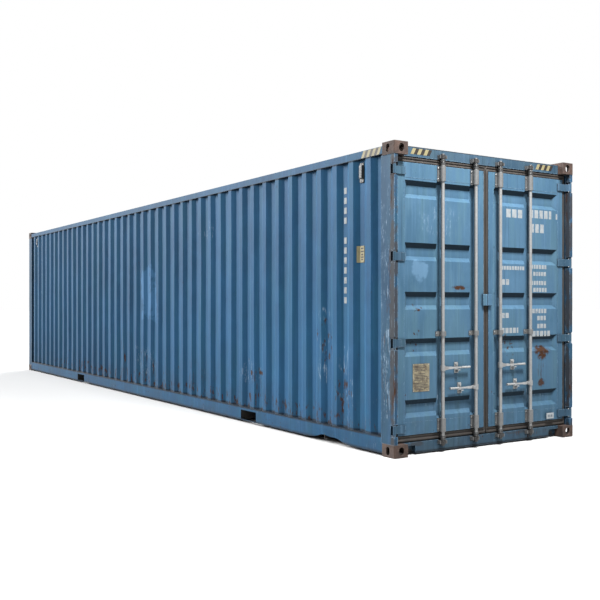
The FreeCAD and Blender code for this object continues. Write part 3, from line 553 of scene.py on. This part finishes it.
class CONTAINER_OT_finish_fittings(bpy.types.Operator):
    """Bare and galvanised finishes of castings, gear, pins, seals, floor and underframe"""
    bl_idname = "container.finish_fittings"
    bl_label = "Finish the Fittings"

    def execute(self, context):
        f = context.scene.container_finish
        rust, zinc = tuple(f.rust), tuple(f.zinc)
        MATERIALS.update(
            casting=cast_steel("Rusted Cast Steel", rust),
            zinc=dull_zinc("Galvanised Steel, Dull", zinc, rust, 0.5, True),
            bracket=dull_zinc("Galvanised Steel, Brackets", shade(zinc, 0.60), rust, 0.7),
            forged=dull_zinc("Forged Steel, Worn Zinc", shade(zinc, 1.25), rust, 0.7),
            rubber=seal_rubber("EPDM Seal Rubber, Extruded", tuple(f.rubber)),
            underseal=underseal("Bitumen Underseal, Brushed"),
            dirt=underseal("Dried Mud", "#1B1613", "#2C241E"),
            plate=stamped_plate("Stainless Steel Plate, Stamped", rust),
            vent=moulded_plastic("ABS Vent Cover, Moulded", "#35383A"),
            dark_gear=dull_zinc("Forged Steel, Blackened", shade(zinc, 0.25), rust, 0.8),
            dark_plastic=moulded_plastic("ABS Vent Surround, Moulded", "#0D0E0F"),
            plate_rows=moulded_plastic("Enamel Filling of Stamped Rows", "#231E19"),
            marking=worn_marking("White Stencil Enamel, Doors", tuple(f.marking), tuple(f.door_coat), 0.8),
            side_marking=worn_marking("White Stencil Enamel, Sides", shade(f.marking, 0.9),
                                      tuple(f.shell_coat), 0.9),
            amber=worn_marking("Amber Enamel", tuple(f.amber), linear("#3A3018"), 0.6),
            black_marking=worn_marking("Black Enamel", linear("#1C1816"), linear("#33312F"), 0.5),
            label=worn_marking("Vinyl Label", linear("#7C8184"), linear("#4C5458"), 0.4),
            label_grey=worn_marking("Grey Print on Vinyl", linear("#4E555A"), linear("#7C8184"), 0.4))
        paint(("bottom_corner_castings", "top_corner_castings"), MATERIALS["casting"])
        paint(("lock_bar_1", "lock_bar_2", "lock_bar_3", "lock_bar_4"), MATERIALS["zinc"])
        paint(("left_door_bar_brackets", "right_door_bar_brackets", "cam_keepers"), MATERIALS["bracket"])
        paint(("left_door_handle_catches", "right_door_handle_catches", "handle_1", "handle_2", "handle_3",
               "handle_4", "hinge_pins"), MATERIALS["forged"])
        paint(("left_door_gasket", "right_door_gasket"), MATERIALS["rubber"])
        paint(("cross_members", "fork_pockets", "gooseneck_tunnel"), MATERIALS["underseal"])
        paint(("floor",), plywood("Marine Plywood"))
        paint(("data_plate",), MATERIALS["plate"])
        paint(("ventilators",), MATERIALS["vent"])
        return {"FINISHED"}


# ---------------------------------------------------------------- building pieces
def slab(shape, low, high, round_mm=1.0, index=0):
    """A plate or block between two corners, with its edges rounded."""
    low, high = Vector(low), Vector(high)
    made = bmesh.ops.create_cube(shape, size=1.0)
    for vert in made["verts"]:
        vert.co = Vector([low[i] if vert.co[i] < 0 else high[i] for i in range(3)])
    faces = {face for vert in made["verts"] for face in vert.link_faces}
    for face in faces:
        face.material_index = index
    edges = {edge for face in faces for edge in face.edges}
    bmesh.ops.bevel(shape, geom=list(edges), offset=round_mm * MM, segments=1, affect="EDGES", material=index)


def bridge(shape, rings, smooth=True):
    """Faces between each closed ring of vertices and the next."""
    made = []
    for one, two in zip(rings, rings[1:]):
        for k in range(len(one)):
            after = (k + 1) % len(one)
            made.append(shape.faces.new((one[k], one[after], two[after], two[k])))
            made[-1].smooth = smooth
    return made


def turned(shape, profile, centre, axis, around=20, index=0):
    """A turned piece: profile is (along, radius) in metres, set on centre along a unit axis."""
    along = Vector(axis)
    side = along.orthogonal().normalized()
    other = along.cross(side)
    rings = []
    for step, radius in profile:
        rings.append([shape.verts.new(Vector(centre) + along * step + radius * (
            side * math.cos(math.tau * k / around) + other * math.sin(math.tau * k / around)))
            for k in range(around)])
    faces = bridge(shape, rings)
    faces += [shape.faces.new(rings[0][::-1]), shape.faces.new(rings[-1])]
    for face in faces:
        face.material_index, face.smooth = index, around > 6 and len(face.verts) == 4


def cut_across(shape, axis, places):
    """Cuts every face at each of the places along one axis."""
    for at in places:
        point, normal = Vector(), Vector()
        point[axis], normal[axis] = at, 1.0
        bmesh.ops.bisect_plane(shape, geom=shape.verts[:] + shape.edges[:] + shape.faces[:],
                               plane_co=point, plane_no=normal, dist=1e-6)


def hex_bolt(shape, place, axis, radius=9 * MM, high=6 * MM, index=0):
    """A bolt head on its washer."""
    turned(shape, ((0, radius * 1.45), (1.4 * MM, radius * 1.45), (1.5 * MM, radius)), place, axis, 16, index)
    turned(shape, ((1.5 * MM, radius), (high - 1 * MM, radius), (high, radius * 0.8)), place, axis, 6, index)


def rivet(shape, place, axis, radius=5 * MM, index=0):
    turned(shape, ((0, radius), (radius * 0.3, radius * 0.9), (radius * 0.55, radius * 0.4)), place, axis, 12,
           index)


def place_piece(context, name, shape, materials, body, stands_for=()):
    """Turns a finished shape into a piece that rides on a body."""
    bmesh.ops.recalc_face_normals(shape, faces=shape.faces)
    mesh = bpy.data.meshes.new(name)
    shape.to_mesh(mesh)
    shape.free()
    for material in materials:
        mesh.materials.append(MATERIALS[material])
    piece = bpy.data.objects.new(name, mesh)
    context.collection.objects.link(piece)
    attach(piece, body)
    if stands_for:
        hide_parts(*stands_for)
    return piece


class CONTAINER_OT_make_seals(bpy.types.Operator):
    """Extruded rubber seal round each leaf, with two rounded lips and a little waviness"""
    bl_idname = "container.make_seals"
    bl_label = "Make the Door Seals"

    def execute(self, context):
        # Across the lip from the leaf outwards: share of the width, and depth below the seal's front in mm.
        lip = ((0.0, 16), (0.02, 5), (0.10, 1.2), (0.22, 0), (0.34, 1.5), (0.42, 7), (0.50, 9), (0.58, 7),
               (0.66, 2.0), (0.78, 0.4), (0.90, 1.6), (0.98, 6), (1.0, 16))
        for side, sign in (("left", 1), ("right", -1)):
            low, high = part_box(f"{side}_door_gasket")
            leaf_low, leaf_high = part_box(f"{side}_door_frame")
            # The frame carries the centre lug, so the free edge is set from the seal's own middle.
            free = 30 * MM
            inner = ((leaf_low.y if sign > 0 else low.y + free), (high.y - free if sign > 0 else leaf_high.y))
            hinge = {1: (low.y, inner[0]), -1: (inner[1], high.y)}[sign]
            ys = (low.y, inner[0], inner[1], high.y)
            zs = (low.z, leaf_low.z, leaf_high.z, high.z)
            corners = (((1, 1), (0, 0)), ((2, 1), (3, 0)), ((2, 2), (3, 3)), ((1, 2), (0, 3)))
            shape = bmesh.new()
            loops = []
            for c, (inside, outside) in enumerate(corners):
                after_in, after_out = corners[(c + 1) % 4]
                steps = 24 if c % 2 == 0 else 56
                for k in range(steps):
                    t = k / steps
                    a = Vector((ys[inside[0]],
                                zs[inside[1]])).lerp(Vector((ys[after_in[0]], zs[after_in[1]])), t)
                    b = Vector((ys[outside[0]],
                                zs[outside[1]])).lerp(Vector((ys[after_out[0]], zs[after_out[1]])), t)
                    loop = []
                    for share, sunk in lip:
                        spot = a.lerp(b, share)
                        wave = 1.3 * noise.noise(Vector((spot.x * 3.1, spot.y * 4.3,
                                                         sign))) * (0.02 < share < 0.98)
                        loop.append(shape.verts.new((high.x - (sunk + 1.4 - wave) * MM, spot.x, spot.y)))
                    loop.append(shape.verts.new((low.x, b.x, b.y)))
                    loop.append(shape.verts.new((low.x, a.x, a.y)))
                    loops.append(loop)
            bridge(shape, loops + loops[:1])
            place_piece(context, f"{side}_door_seal", shape, ("rubber",), f"{side}_door",
                        (f"{side}_door_gasket",))
        return {"FINISHED"}


class CONTAINER_OT_make_bar_ends(bpy.types.Operator):
    """Ridged collars, domed caps and clamp bolts of the locking bars"""
    bl_idname = "container.make_bar_ends"
    bl_label = "Make the Bar Ends"

    def execute(self, context):
        r = BAR_RADIUS
        for bar, y in BAR_Y.items():
            shape = bmesh.new()
            for z, up in ((BAR_TOP, 1), (BAR_FOOT, -1)):
                turned(shape,
                       ((-2 * MM, r), (1 * MM, r), (5 * MM, r * 0.86), (8 * MM, r * 0.5), (9 * MM, r * 0.2)),
                       (BAR_X, y, z), (0, 0, up), 24)
                # Anti-rack rings: three ridges with worn grooves between them, below the cam.
                start = z - up * 92 * MM
                ridges = [(0, r)]
                for k in range(3):
                    at = k * 14 * MM
                    ridges += [(at + 1 * MM, r * 1.40), (at + 3 * MM, r * 1.52), (at + 8 * MM, r * 1.52),
                               (at + 10 * MM, r * 1.40), (at + 11 * MM, r * 1.12), (at + 13 * MM, r * 1.12)]
                turned(shape, ridges + [(43 * MM, r)], (BAR_X, y, start), (0, 0, up), 24)
                hex_bolt(shape, (BAR_X + r * 1.1, y, z - up * 22 * MM), (1, 0, 0), 6 * MM, 5 * MM)
            place_piece(context, f"bar_ends_{bar}", shape, ("dark_gear",), f"lock_bar_{bar}")
        return {"FINISHED"}


class CONTAINER_OT_make_fasteners(bpy.types.Operator):
    """Bolts of the bar brackets and heads of the hinge pins"""
    bl_idname = "container.make_fasteners"
    bl_label = "Make the Fasteners"

    def execute(self, context):
        foot_x = HALF_L - 59 * MM
        for side, bars in (("left", (1, 2)), ("right", (3, 4))):
            shape = bmesh.new()
            for bar in bars:
                for z0, z1 in SLEEVES:
                    long_sleeve = z1 - z0 > 0.1
                    reach = 36 * MM if long_sleeve else 54 * MM
                    face = foot_x if long_sleeve else foot_x - 1.5 * MM
                    heights = (z0 + 22 * MM, z1 - 22 * MM) if long_sleeve else ((z0 + z1) / 2,)
                    for z in heights:
                        for across in (-reach, reach):
                            hex_bolt(shape, (face, BAR_Y[bar] + across, z), (1, 0, 0), 7 * MM)
            place_piece(context, f"{side}_bracket_bolts", shape, ("bracket",), f"{side}_door")
        # Washers and peened heads on the hinge pins, standing on the posts' lugs.
        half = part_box("hinge_pins")[1].z - HINGE_HEIGHTS[-1]
        shape = bmesh.new()
        for sign in (-1, 1):
            for z in HINGE_HEIGHTS:
                for up in (-1, 1):
                    turned(shape,
                           ((-3 * MM, 13 * MM), (0, 13 * MM), (0.5 * MM, 9 * MM), (4 * MM, 8 * MM),
                            (6 * MM, 4 * MM)),
                           (HINGE_X, sign * HINGE_Y, z + up * half), (0, 0, up), 20)
        place_piece(context, "hinge_pin_heads", shape, ("forged",), "frame")
        return {"FINISHED"}


class CONTAINER_OT_dent_sheets(bpy.types.Operator):
    """Side sheets and the left bottom rail with the shallow dents that handling leaves"""
    bl_idname = "container.dent_sheets"
    bl_label = "Dent the Sheets"

    def execute(self, context):
        low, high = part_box("left_side_wall")
        rows = 16
        # Dents: centre along, height, radius, and depth in millimetres.
        for side, sign, dents in (
                ("left", -1, ((4.95, 0.95, 0.20, 5), (3.54, 0.50, 0.25, 6), (0.31, 1.50, 0.45, 5),
                              (-0.73, 0.60, 0.30, 6), (-3.6, 0.9, 0.5, 5), (2.2, 1.9, 0.5, 4))),
                ("right", 1,
                 ((4.2, 1.2, 0.4, 6), (1.1, 0.6, 0.5, 7), (-2.3, 1.7, 0.6, 5), (-4.9, 0.8, 0.4, 6)))):
            shape = bmesh.new()
            shape.from_mesh(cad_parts[f"{side}_side_wall"].data)
            cut_across(shape, 2, [low.z + (high.z - low.z) * k / rows for k in range(1, rows)])
            for vert in shape.verts:
                x, _, z = vert.co
                held = min(1.0, (z - low.z) / 0.15, (high.z - z) / 0.15, (HALF_L - 0.2 - abs(x)) / 0.3)
                depth = 1.5 + 1.5 * noise.noise(Vector((x * 1.3, z * 1.7, sign * 4)))
                for at, up, wide, deep in dents:
                    depth += deep * math.exp(-((x - at) ** 2 + (z - up) ** 2) / wide ** 2)
                vert.co.y -= sign * depth * max(0.0, held) * MM
            place_piece(context, f"{side}_wall_sheet", shape, ("side",), "frame",
                        (f"{side}_side_wall",))

        # The left bottom rail's lower edge is bent up and in where something struck it.
        dent_start, dent_long, dent_high, dent_up, dent_in = 4.61, 0.84, 0.12, 58 * MM, 16 * MM
        shape = bmesh.new()
        shape.from_mesh(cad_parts["left_bottom_rail"].data)
        cut_across(shape, 0, [4.60 + 0.03 * k for k in range(30)])
        cut_across(shape, 2, (0.045, 0.080, 0.125))
        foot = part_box("left_bottom_rail")[0].z
        for vert in shape.verts:
            x, _, z = vert.co
            if dent_start < x < dent_start + dent_long:
                along = math.sin(math.pi * (x - dent_start) / dent_long) ** 2
                ripple = 0.84 + 0.16 * math.cos((x - dent_start) * 21)
                lower = max(0.0, 1.0 - (z - foot) / dent_high)
                vert.co.z += dent_up * along * ripple * lower
                vert.co.y += dent_in * along * (1.3 - ripple) * lower
        place_piece(context, "left_bottom_rail_bent", shape, ("rail",), "frame",
                    ("left_bottom_rail",))
        return {"FINISHED"}


class CONTAINER_OT_lay_welds(bpy.types.Operator):
    """Weld beads along the foot and head of the side sheets"""
    bl_idname = "container.lay_welds"
    bl_label = "Lay the Welds"

    def execute(self, context):
        low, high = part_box("left_side_wall")
        crest, slope, count, wall_end, crest_y = 0.072, 0.068, 42, 5.890, HALF_W - 7 * MM
        path = [(-wall_end, TROUGH_Y)]
        for k in range(count):
            middle = -(count - 1) * RIB_PITCH / 2 + k * RIB_PITCH
            path += [(middle - crest / 2 - slope, TROUGH_Y), (middle - crest / 2, crest_y),
                     (middle + crest / 2, crest_y), (middle + crest / 2 + slope, TROUGH_Y)]
        path.append((wall_end, TROUGH_Y))
        around = 6
        for side, sign in (("left", -1), ("right", 1)):
            shape = bmesh.new()
            for z in (low.z + 2 * MM, high.z - 2 * MM):
                loops = []
                for k, (x, y) in enumerate(path):
                    size = 3.2 * MM * (1 + 0.25 * noise.noise(Vector((x * 9, z, sign))))
                    spots = [(x, sign * (y - 1 * MM + size * math.cos(math.tau * a / around)),
                              z + size * math.sin(math.tau * a / around)) for a in range(around)]
                    loops.append([shape.verts.new(spot) for spot in spots])
                bridge(shape, loops)
                shape.faces.new(loops[0])
                shape.faces.new(loops[-1][::-1])
            place_piece(context, f"{side}_wall_welds", shape, ("rail",), "frame")
        return {"FINISHED"}


class CONTAINER_OT_pack_dirt(bpy.types.Operator):
    """Dried mud that gathers in the hollows of the bottom corner castings"""
    bl_idname = "container.pack_dirt"
    bl_label = "Pack the Dirt"

    def execute(self, context):
        shape = bmesh.new()
        floor, steps = 31 * MM, 12
        for end in (-1, 1):
            for sign in (-1, 1):
                rows = []
                for i in range(steps + 1):
                    row = []
                    for j in range(steps + 1):
                        a, b = i / steps, j / steps
                        x, y = end * (HALF_L - (20 + 142 * a) * MM), sign * (HALF_W - (20 + 126 * b) * MM)
                        heap = math.exp(-((a - 0.5) ** 2 + (b - 0.5) ** 2) / 0.13)
                        lump = 7 * noise.noise(Vector((x * 38, y * 38, 1.0)))
                        row.append(shape.verts.new((x, y, floor + max(1.0, 40 * heap + lump) * MM)))
                    rows.append(row)
                for i in range(steps):
                    for j in range(steps):
                        face = shape.faces.new((rows[i][j], rows[i + 1][j], rows[i + 1][j + 1],
                                                rows[i][j + 1]))
                        face.smooth = True
                rim = ([rows[i][0] for i in range(steps)] + [rows[steps][j] for j in range(steps)] +
                       [rows[i][steps] for i in range(steps, 0,
                                                      -1)] + [rows[0][j] for j in range(steps, 0, -1)])
                under = [shape.verts.new((v.co.x, v.co.y, floor)) for v in rim]
                bridge(shape, (rim, under), smooth=False)
                shape.faces.new(under)
        place_piece(context, "casting_dirt", shape, ("dirt",), "frame")
        return {"FINISHED"}


class CONTAINER_OT_make_vents(bpy.types.Operator):
    """Louvred plastic vents on dark surrounds, near both ends of both walls"""
    bl_idname = "container.make_vents"
    bl_label = "Make the Vents"

    def execute(self, context):
        shape = bmesh.new()
        low_z, high_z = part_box("ventilators")[0].z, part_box("ventilators")[1].z
        for end in (-1, 1):
            for sign in (-1, 1):
                x, back = end * FIRST_TROUGH, sign * TROUGH_Y

                def part(half, out0, out1, z0, z1, round_mm, index):
                    ys = sorted((back + sign * out0 * MM, back + sign * out1 * MM))
                    slab(shape, (x - half * MM, ys[0], z0), (x + half * MM, ys[1], z1), round_mm, index)

                part(31, -1, 9, low_z, high_z, 3, 1)
                part(23, 8, 26, low_z + 40 * MM, high_z - 22 * MM, 4, 0)
                for k in range(7):
                    z = low_z + (52 + 15 * k) * MM
                    part(18, 25, 28.5, z, z + 6 * MM, 1.2, 0)
                for z in (low_z + 14 * MM, high_z - 10 * MM):
                    rivet(shape, (x, back + sign * 9 * MM, z), (0, sign, 0), 5 * MM, 1)
        place_piece(context, "vent_covers", shape, ("vent", "dark_plastic"), "frame",
                    ("ventilators",))
        return {"FINISHED"}


class CONTAINER_OT_make_plates(bpy.types.Operator):
    """Rows and rivets of the approval plate, the amber plate beside the doors and the small label"""
    bl_idname = "container.make_plates"
    bl_label = "Make the Plates"

    def execute(self, context):
        low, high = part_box("data_plate")
        shape = bmesh.new()
        slab(shape, (high.x - 0.5 * MM, low.y + 6 * MM, low.z + 6 * MM),
             (high.x + 0.6 * MM, high.y - 6 * MM, high.z - 6 * MM), 0.5, 0)
        draw = random.Random(11)
        z = high.z - 24 * MM
        for row in range(14):
            if row in (4, 9):
                z -= 8 * MM
                slab(shape, (high.x, low.y + 9 * MM, z), (high.x + 1.6 * MM, high.y - 9 * MM, z + 2.4 * MM),
                     0.4, 0)
                z -= 8 * MM
            start, stop = low.y + 18 * MM, high.y - 18 * MM - draw.uniform(0, 0.07)
            slab(shape, (high.x, start, z), (high.x + 1.5 * MM, stop, z + 6 * MM), 0.5, 1)
            z -= 14.4 * MM
        for y in (low.y + 9 * MM, high.y - 9 * MM):
            for z in (low.z + 9 * MM, (low.z + high.z) / 2, high.z - 9 * MM):
                rivet(shape, (high.x, y, z), (1, 0, 0), 4 * MM, 2)
        place_piece(context, "data_plate_rows", shape, ("plate", "plate_rows", "forged"), "left_door")

        shape = bmesh.new()
        face = -TROUGH_Y
        # The plate lies in the trough and bends up along the slope beside it.
        bend = [(34, 0, 2.5), (-34, 0, 2.5), (-66, 17, 2.5)]
        outline = [(x, -y - t) for x, y, t in bend] + [(x, -y) for x, y, t in reversed(bend)]
        rings = [[shape.verts.new((FIRST_TROUGH + x * MM, face + y * MM, z)) for x, y in outline]
                 for z in (1.805, 1.965)]
        bridge(shape, rings, smooth=False)
        for ring in rings:
            shape.faces.new((ring[0], ring[1], ring[4], ring[5]))
            shape.faces.new((ring[1], ring[2], ring[3], ring[4]))
        for k, (wide, z) in enumerate(((20, 1.935), (24, 1.905), (16, 1.875), (22, 1.850), (14, 1.828))):
            slab(shape, (FIRST_TROUGH - wide * MM, face - 3.2 * MM, z),
                 (FIRST_TROUGH + wide * MM, face - 2 * MM, z + 12 * MM), 0.4, 1)
        for x in (-28, 28):
            for z in (1.812, 1.958):
                rivet(shape, (FIRST_TROUGH + x * MM, face - 2.5 * MM, z), (0, -1, 0), 3.5 * MM, 1)
        place_piece(context, "amber_plate", shape, ("amber", "black_marking"), "frame")

        shape = bmesh.new()
        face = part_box("right_door_frame")[1].x
        slab(shape, (face - 0.5 * MM, 0.850, 0.205), (face + 0.8 * MM, 0.960, 0.266), 0.4, 0)
        for y0, y1 in ((0.868, 0.884), (0.892, 0.906), (0.914, 0.940)):
            slab(shape, (face, y0, 0.222), (face + 1.2 * MM, y1, 0.248), 0.2, 1)
        place_piece(context, "small_label", shape, ("label", "label_grey"), "right_door")
        return {"FINISHED"}


class CONTAINER_OT_paint_markings(bpy.types.Operator):
    """Plain worn bars where markings were, on the right leaf and on both long sides"""
    bl_idname = "container.paint_markings"
    bl_label = "Paint the Markings"

    def execute(self, context):
        draw = random.Random(23)
        film = 0.5 * MM
        shape = bmesh.new()
        # Each row: its span across the leaf, then its span in height.
        large = ((0.286, 0.517, 2.265, 2.384), (0.635, 0.954, 2.278, 2.395), (1.024, 1.085, 2.285, 2.366),
                 (0.635, 0.862, 2.126, 2.251))
        small = ((0.222, 0.546, 1.743, 1.797), (0.222, 0.357, 1.587, 1.666), (0.222, 0.343, 1.253, 1.325),
                 (0.222, 0.459, 1.099, 1.174), (0.650, 0.893, 1.761, 1.818), (0.680, 0.893, 1.688, 1.746),
                 (0.650, 0.893, 1.593, 1.653), (0.680, 0.893, 1.520, 1.581), (0.665, 0.893, 1.300, 1.363),
                 (0.740, 0.893, 1.226, 1.290), (0.740, 0.893, 1.143, 1.207), (0.665, 0.954, 1.057, 1.136))
        for rows, share in ((large, 0.46), (small, 0.55)):
            for y0, y1, z0, z1 in rows:
                tall = z1 - z0
                middle, half = (z0 + z1) / 2, tall * 0.36
                y = y0
                while y < y1 - 0.25 * tall:
                    wide = min(tall * draw.uniform(share * 0.8, share * 1.2), y1 - y)
                    slab(shape, (PANEL_X - film, y, middle - half), (PANEL_X + film, y + wide, middle + half),
                         0.4)
                    y += wide + tall * 0.16
        place_piece(context, "right_door_marks", shape, ("marking",), "right_door")

        for side, sign in (("left", -1), ("right", 1)):
            shape = bmesh.new()
            face, x = sign * TROUGH_Y, FIRST_TROUGH - RIB_PITCH
            for k in range(12):
                top = 2.556 - k * 98.5 * MM
                if k != 4:
                    slab(shape, (x - 22 * MM, face - film, top - 62 * MM), (x + 22 * MM, face + film, top),
                         0.4)
            place_piece(context, f"{side}_side_marks", shape, ("side_marking",), "frame")
        return {"FINISHED"}


class CONTAINER_OT_paint_stripes(bpy.types.Operator):
    """Amber and black slanted stripes on the header and at the top corners of both long sides"""
    bl_idname = "container.paint_stripes"
    bl_label = "Paint the Height Stripes"

    def execute(self, context):
        film, slant, pitch, slant_high = 0.6 * MM, 0.038, 0.079, 0.07

        def stripes(shape, out, along, start, stop, z0, z1):
            """Slanted stripes on a face; out and along are unit vectors and start, stop are distances."""
            high = z1 - z0
            count = int(round((stop - start) / (pitch / 2)))
            for k in range(count):
                a = start + k * pitch / 2
                b = a + pitch / 2
                corners = [(a, z0), (b, z0), (b + slant * high / slant_high, z1),
                           (a + slant * high / slant_high, z1)]
                front, back = ([shape.verts.new(out[0] + out[1] * depth + along * u + Vector((0, 0, z)))
                                for u, z in corners] for depth in (film, -film))
                faces = [shape.faces.new(front), shape.faces.new(back[::-1])]
                faces += [shape.faces.new((front[i], back[i], back[(i + 1) % 4],
                                           front[(i + 1) % 4])) for i in range(4)]
                for face in faces:
                    face.material_index = k % 2

        shape = bmesh.new()
        x_face = (Vector((HEADER_X, 0, 0)), Vector((1, 0, 0)))
        for start, stop in ((-0.972, -0.735), (0.715, 0.952)):
            stripes(shape, x_face, Vector((0, 1, 0)), start, stop, 2.802, 2.858)
        for sign in (-1, 1):
            y_face = (Vector((0, sign * (HALF_W - 5 * MM), 0)), Vector((0, sign, 0)))
            stripes(shape, y_face, Vector((1, 0, 0)), 5.590, 5.855, 2.797, 2.863)
        place_piece(context, "height_stripes", shape, ("amber", "black_marking"), "frame")
        return {"FINISHED"}


def stand(context, name, data, place=(0, 0, 0), turn=(0, 0, 0)):
    """Puts a light, a camera or the floor into the scene."""
    thing = bpy.data.objects.new(name, data)
    thing.location, thing.rotation_euler = place, turn
    context.collection.objects.link(thing)
    return thing


def lamp_turn(towards):
    """The turn that points a light at what it lights, from this direction."""
    return Vector(towards).to_track_quat("Z", "Y").to_euler()


class CONTAINER_OT_set_stage(bpy.types.Operator):
    """Pale floor, soft light and the camera"""
    bl_idname = "container.set_stage"
    bl_label = "Set the Stage"

    def execute(self, context):
        s = context.scene.container_studio
        mesh = bpy.data.meshes.new("studio_floor")
        shape = bmesh.new()
        bmesh.ops.create_circle(shape, cap_ends=True, segments=96, radius=150)
        shape.to_mesh(mesh)
        shape.free()
        mesh.materials.append(studio_floor("Seamless Paper", tuple(context.scene.container_finish.studio)))
        stand(context, "studio_floor", mesh, (0, 0, CAD_BOX[0].z - 2 * MM))

        world = bpy.data.worlds.new("Even White Surround")
        world.use_nodes = True
        backdrop = world.node_tree.nodes["Background"]
        backdrop.inputs[0].default_value = (1, 1, 1, 1)
        backdrop.inputs[1].default_value = s.sky
        context.scene.world = world

        # Each soft sun: name, strength, spread, and where it comes from: degrees round from +Y
        # towards -X, and degrees up.
        for name, strength, spread, heading, rise in (("Key Light", s.key, 32, 122, 28),
                                                      ("Back Light", s.back, 45, 30, 35)):
            sun = bpy.data.lights.new(name, "SUN")
            sun.energy, sun.angle = strength, math.radians(spread)
            around, up = math.radians(heading), math.radians(rise)
            towards = Vector((-math.sin(around) * math.cos(up), math.cos(around) * math.cos(up),
                              math.sin(up)))
            stand(context, name, sun, turn=lamp_turn(towards))

        fill = bpy.data.lights.new("Door Light", "AREA")
        fill.shape, fill.size, fill.energy = "DISK", 1.6, s.fill
        fill.spread = math.radians(85)
        above_doors, lit_spot = Vector((HALF_L + 3.0, -0.9, 7.4)), Vector((HALF_L, 0, 2.2))
        stand(context, "Door Light", fill, above_doors, lamp_turn(above_doors - lit_spot))

        # Plain colour: the pale floor and surround stay white.
        context.scene.view_settings.view_transform = "Standard"

        camera = bpy.data.cameras.new("Camera")
        camera.lens, camera.sensor_width, camera.shift_y = s.lens, 36.0, 0.0053
        camera.clip_end = 400
        context.scene.camera = stand(context, "Camera", camera, s.camera_place,
                                     (math.radians(90), 0, s.camera_turn))
        return {"FINISHED"}


class CONTAINER_PT_sidebar(bpy.types.Panel):
    """Everything that the container is finished with, in order"""
    bl_idname = "CONTAINER_PT_sidebar"
    bl_label = "Container"
    bl_space_type = "VIEW_3D"
    bl_region_type = "UI"
    bl_category = "Container"

    def draw(self, context):
        for group in (context.scene.container_finish, context.scene.container_studio):
            for name in group.__annotations__:
                self.layout.prop(group, name)
        for step in STEPS:
            self.layout.operator(step.bl_idname)


STEPS = (
    CONTAINER_OT_paint_shell,
    CONTAINER_OT_paint_doors,
    CONTAINER_OT_finish_fittings,
    CONTAINER_OT_make_seals,
    CONTAINER_OT_make_bar_ends,
    CONTAINER_OT_make_fasteners,
    CONTAINER_OT_dent_sheets,
    CONTAINER_OT_lay_welds,
    CONTAINER_OT_pack_dirt,
    CONTAINER_OT_make_vents,
    CONTAINER_OT_make_plates,
    CONTAINER_OT_paint_markings,
    CONTAINER_OT_paint_stripes,
    CONTAINER_OT_set_stage,
)
CLASSES = (ContainerFinish, ContainerStudio, *STEPS, CONTAINER_PT_sidebar)


def register():
    for cls in CLASSES:
        bpy.utils.register_class(cls)
    bpy.types.Scene.container_finish = PointerProperty(type=ContainerFinish)
    bpy.types.Scene.container_studio = PointerProperty(type=ContainerStudio)


def unregister():
    del bpy.types.Scene.container_studio
    del bpy.types.Scene.container_finish
    for cls in reversed(CLASSES):
        bpy.utils.unregister_class(cls)


def main():
    register()
    for step in STEPS:
        group, name = step.bl_idname.split(".")
        getattr(getattr(bpy.ops, group), name)()


if __name__ == "__main__":
    main()
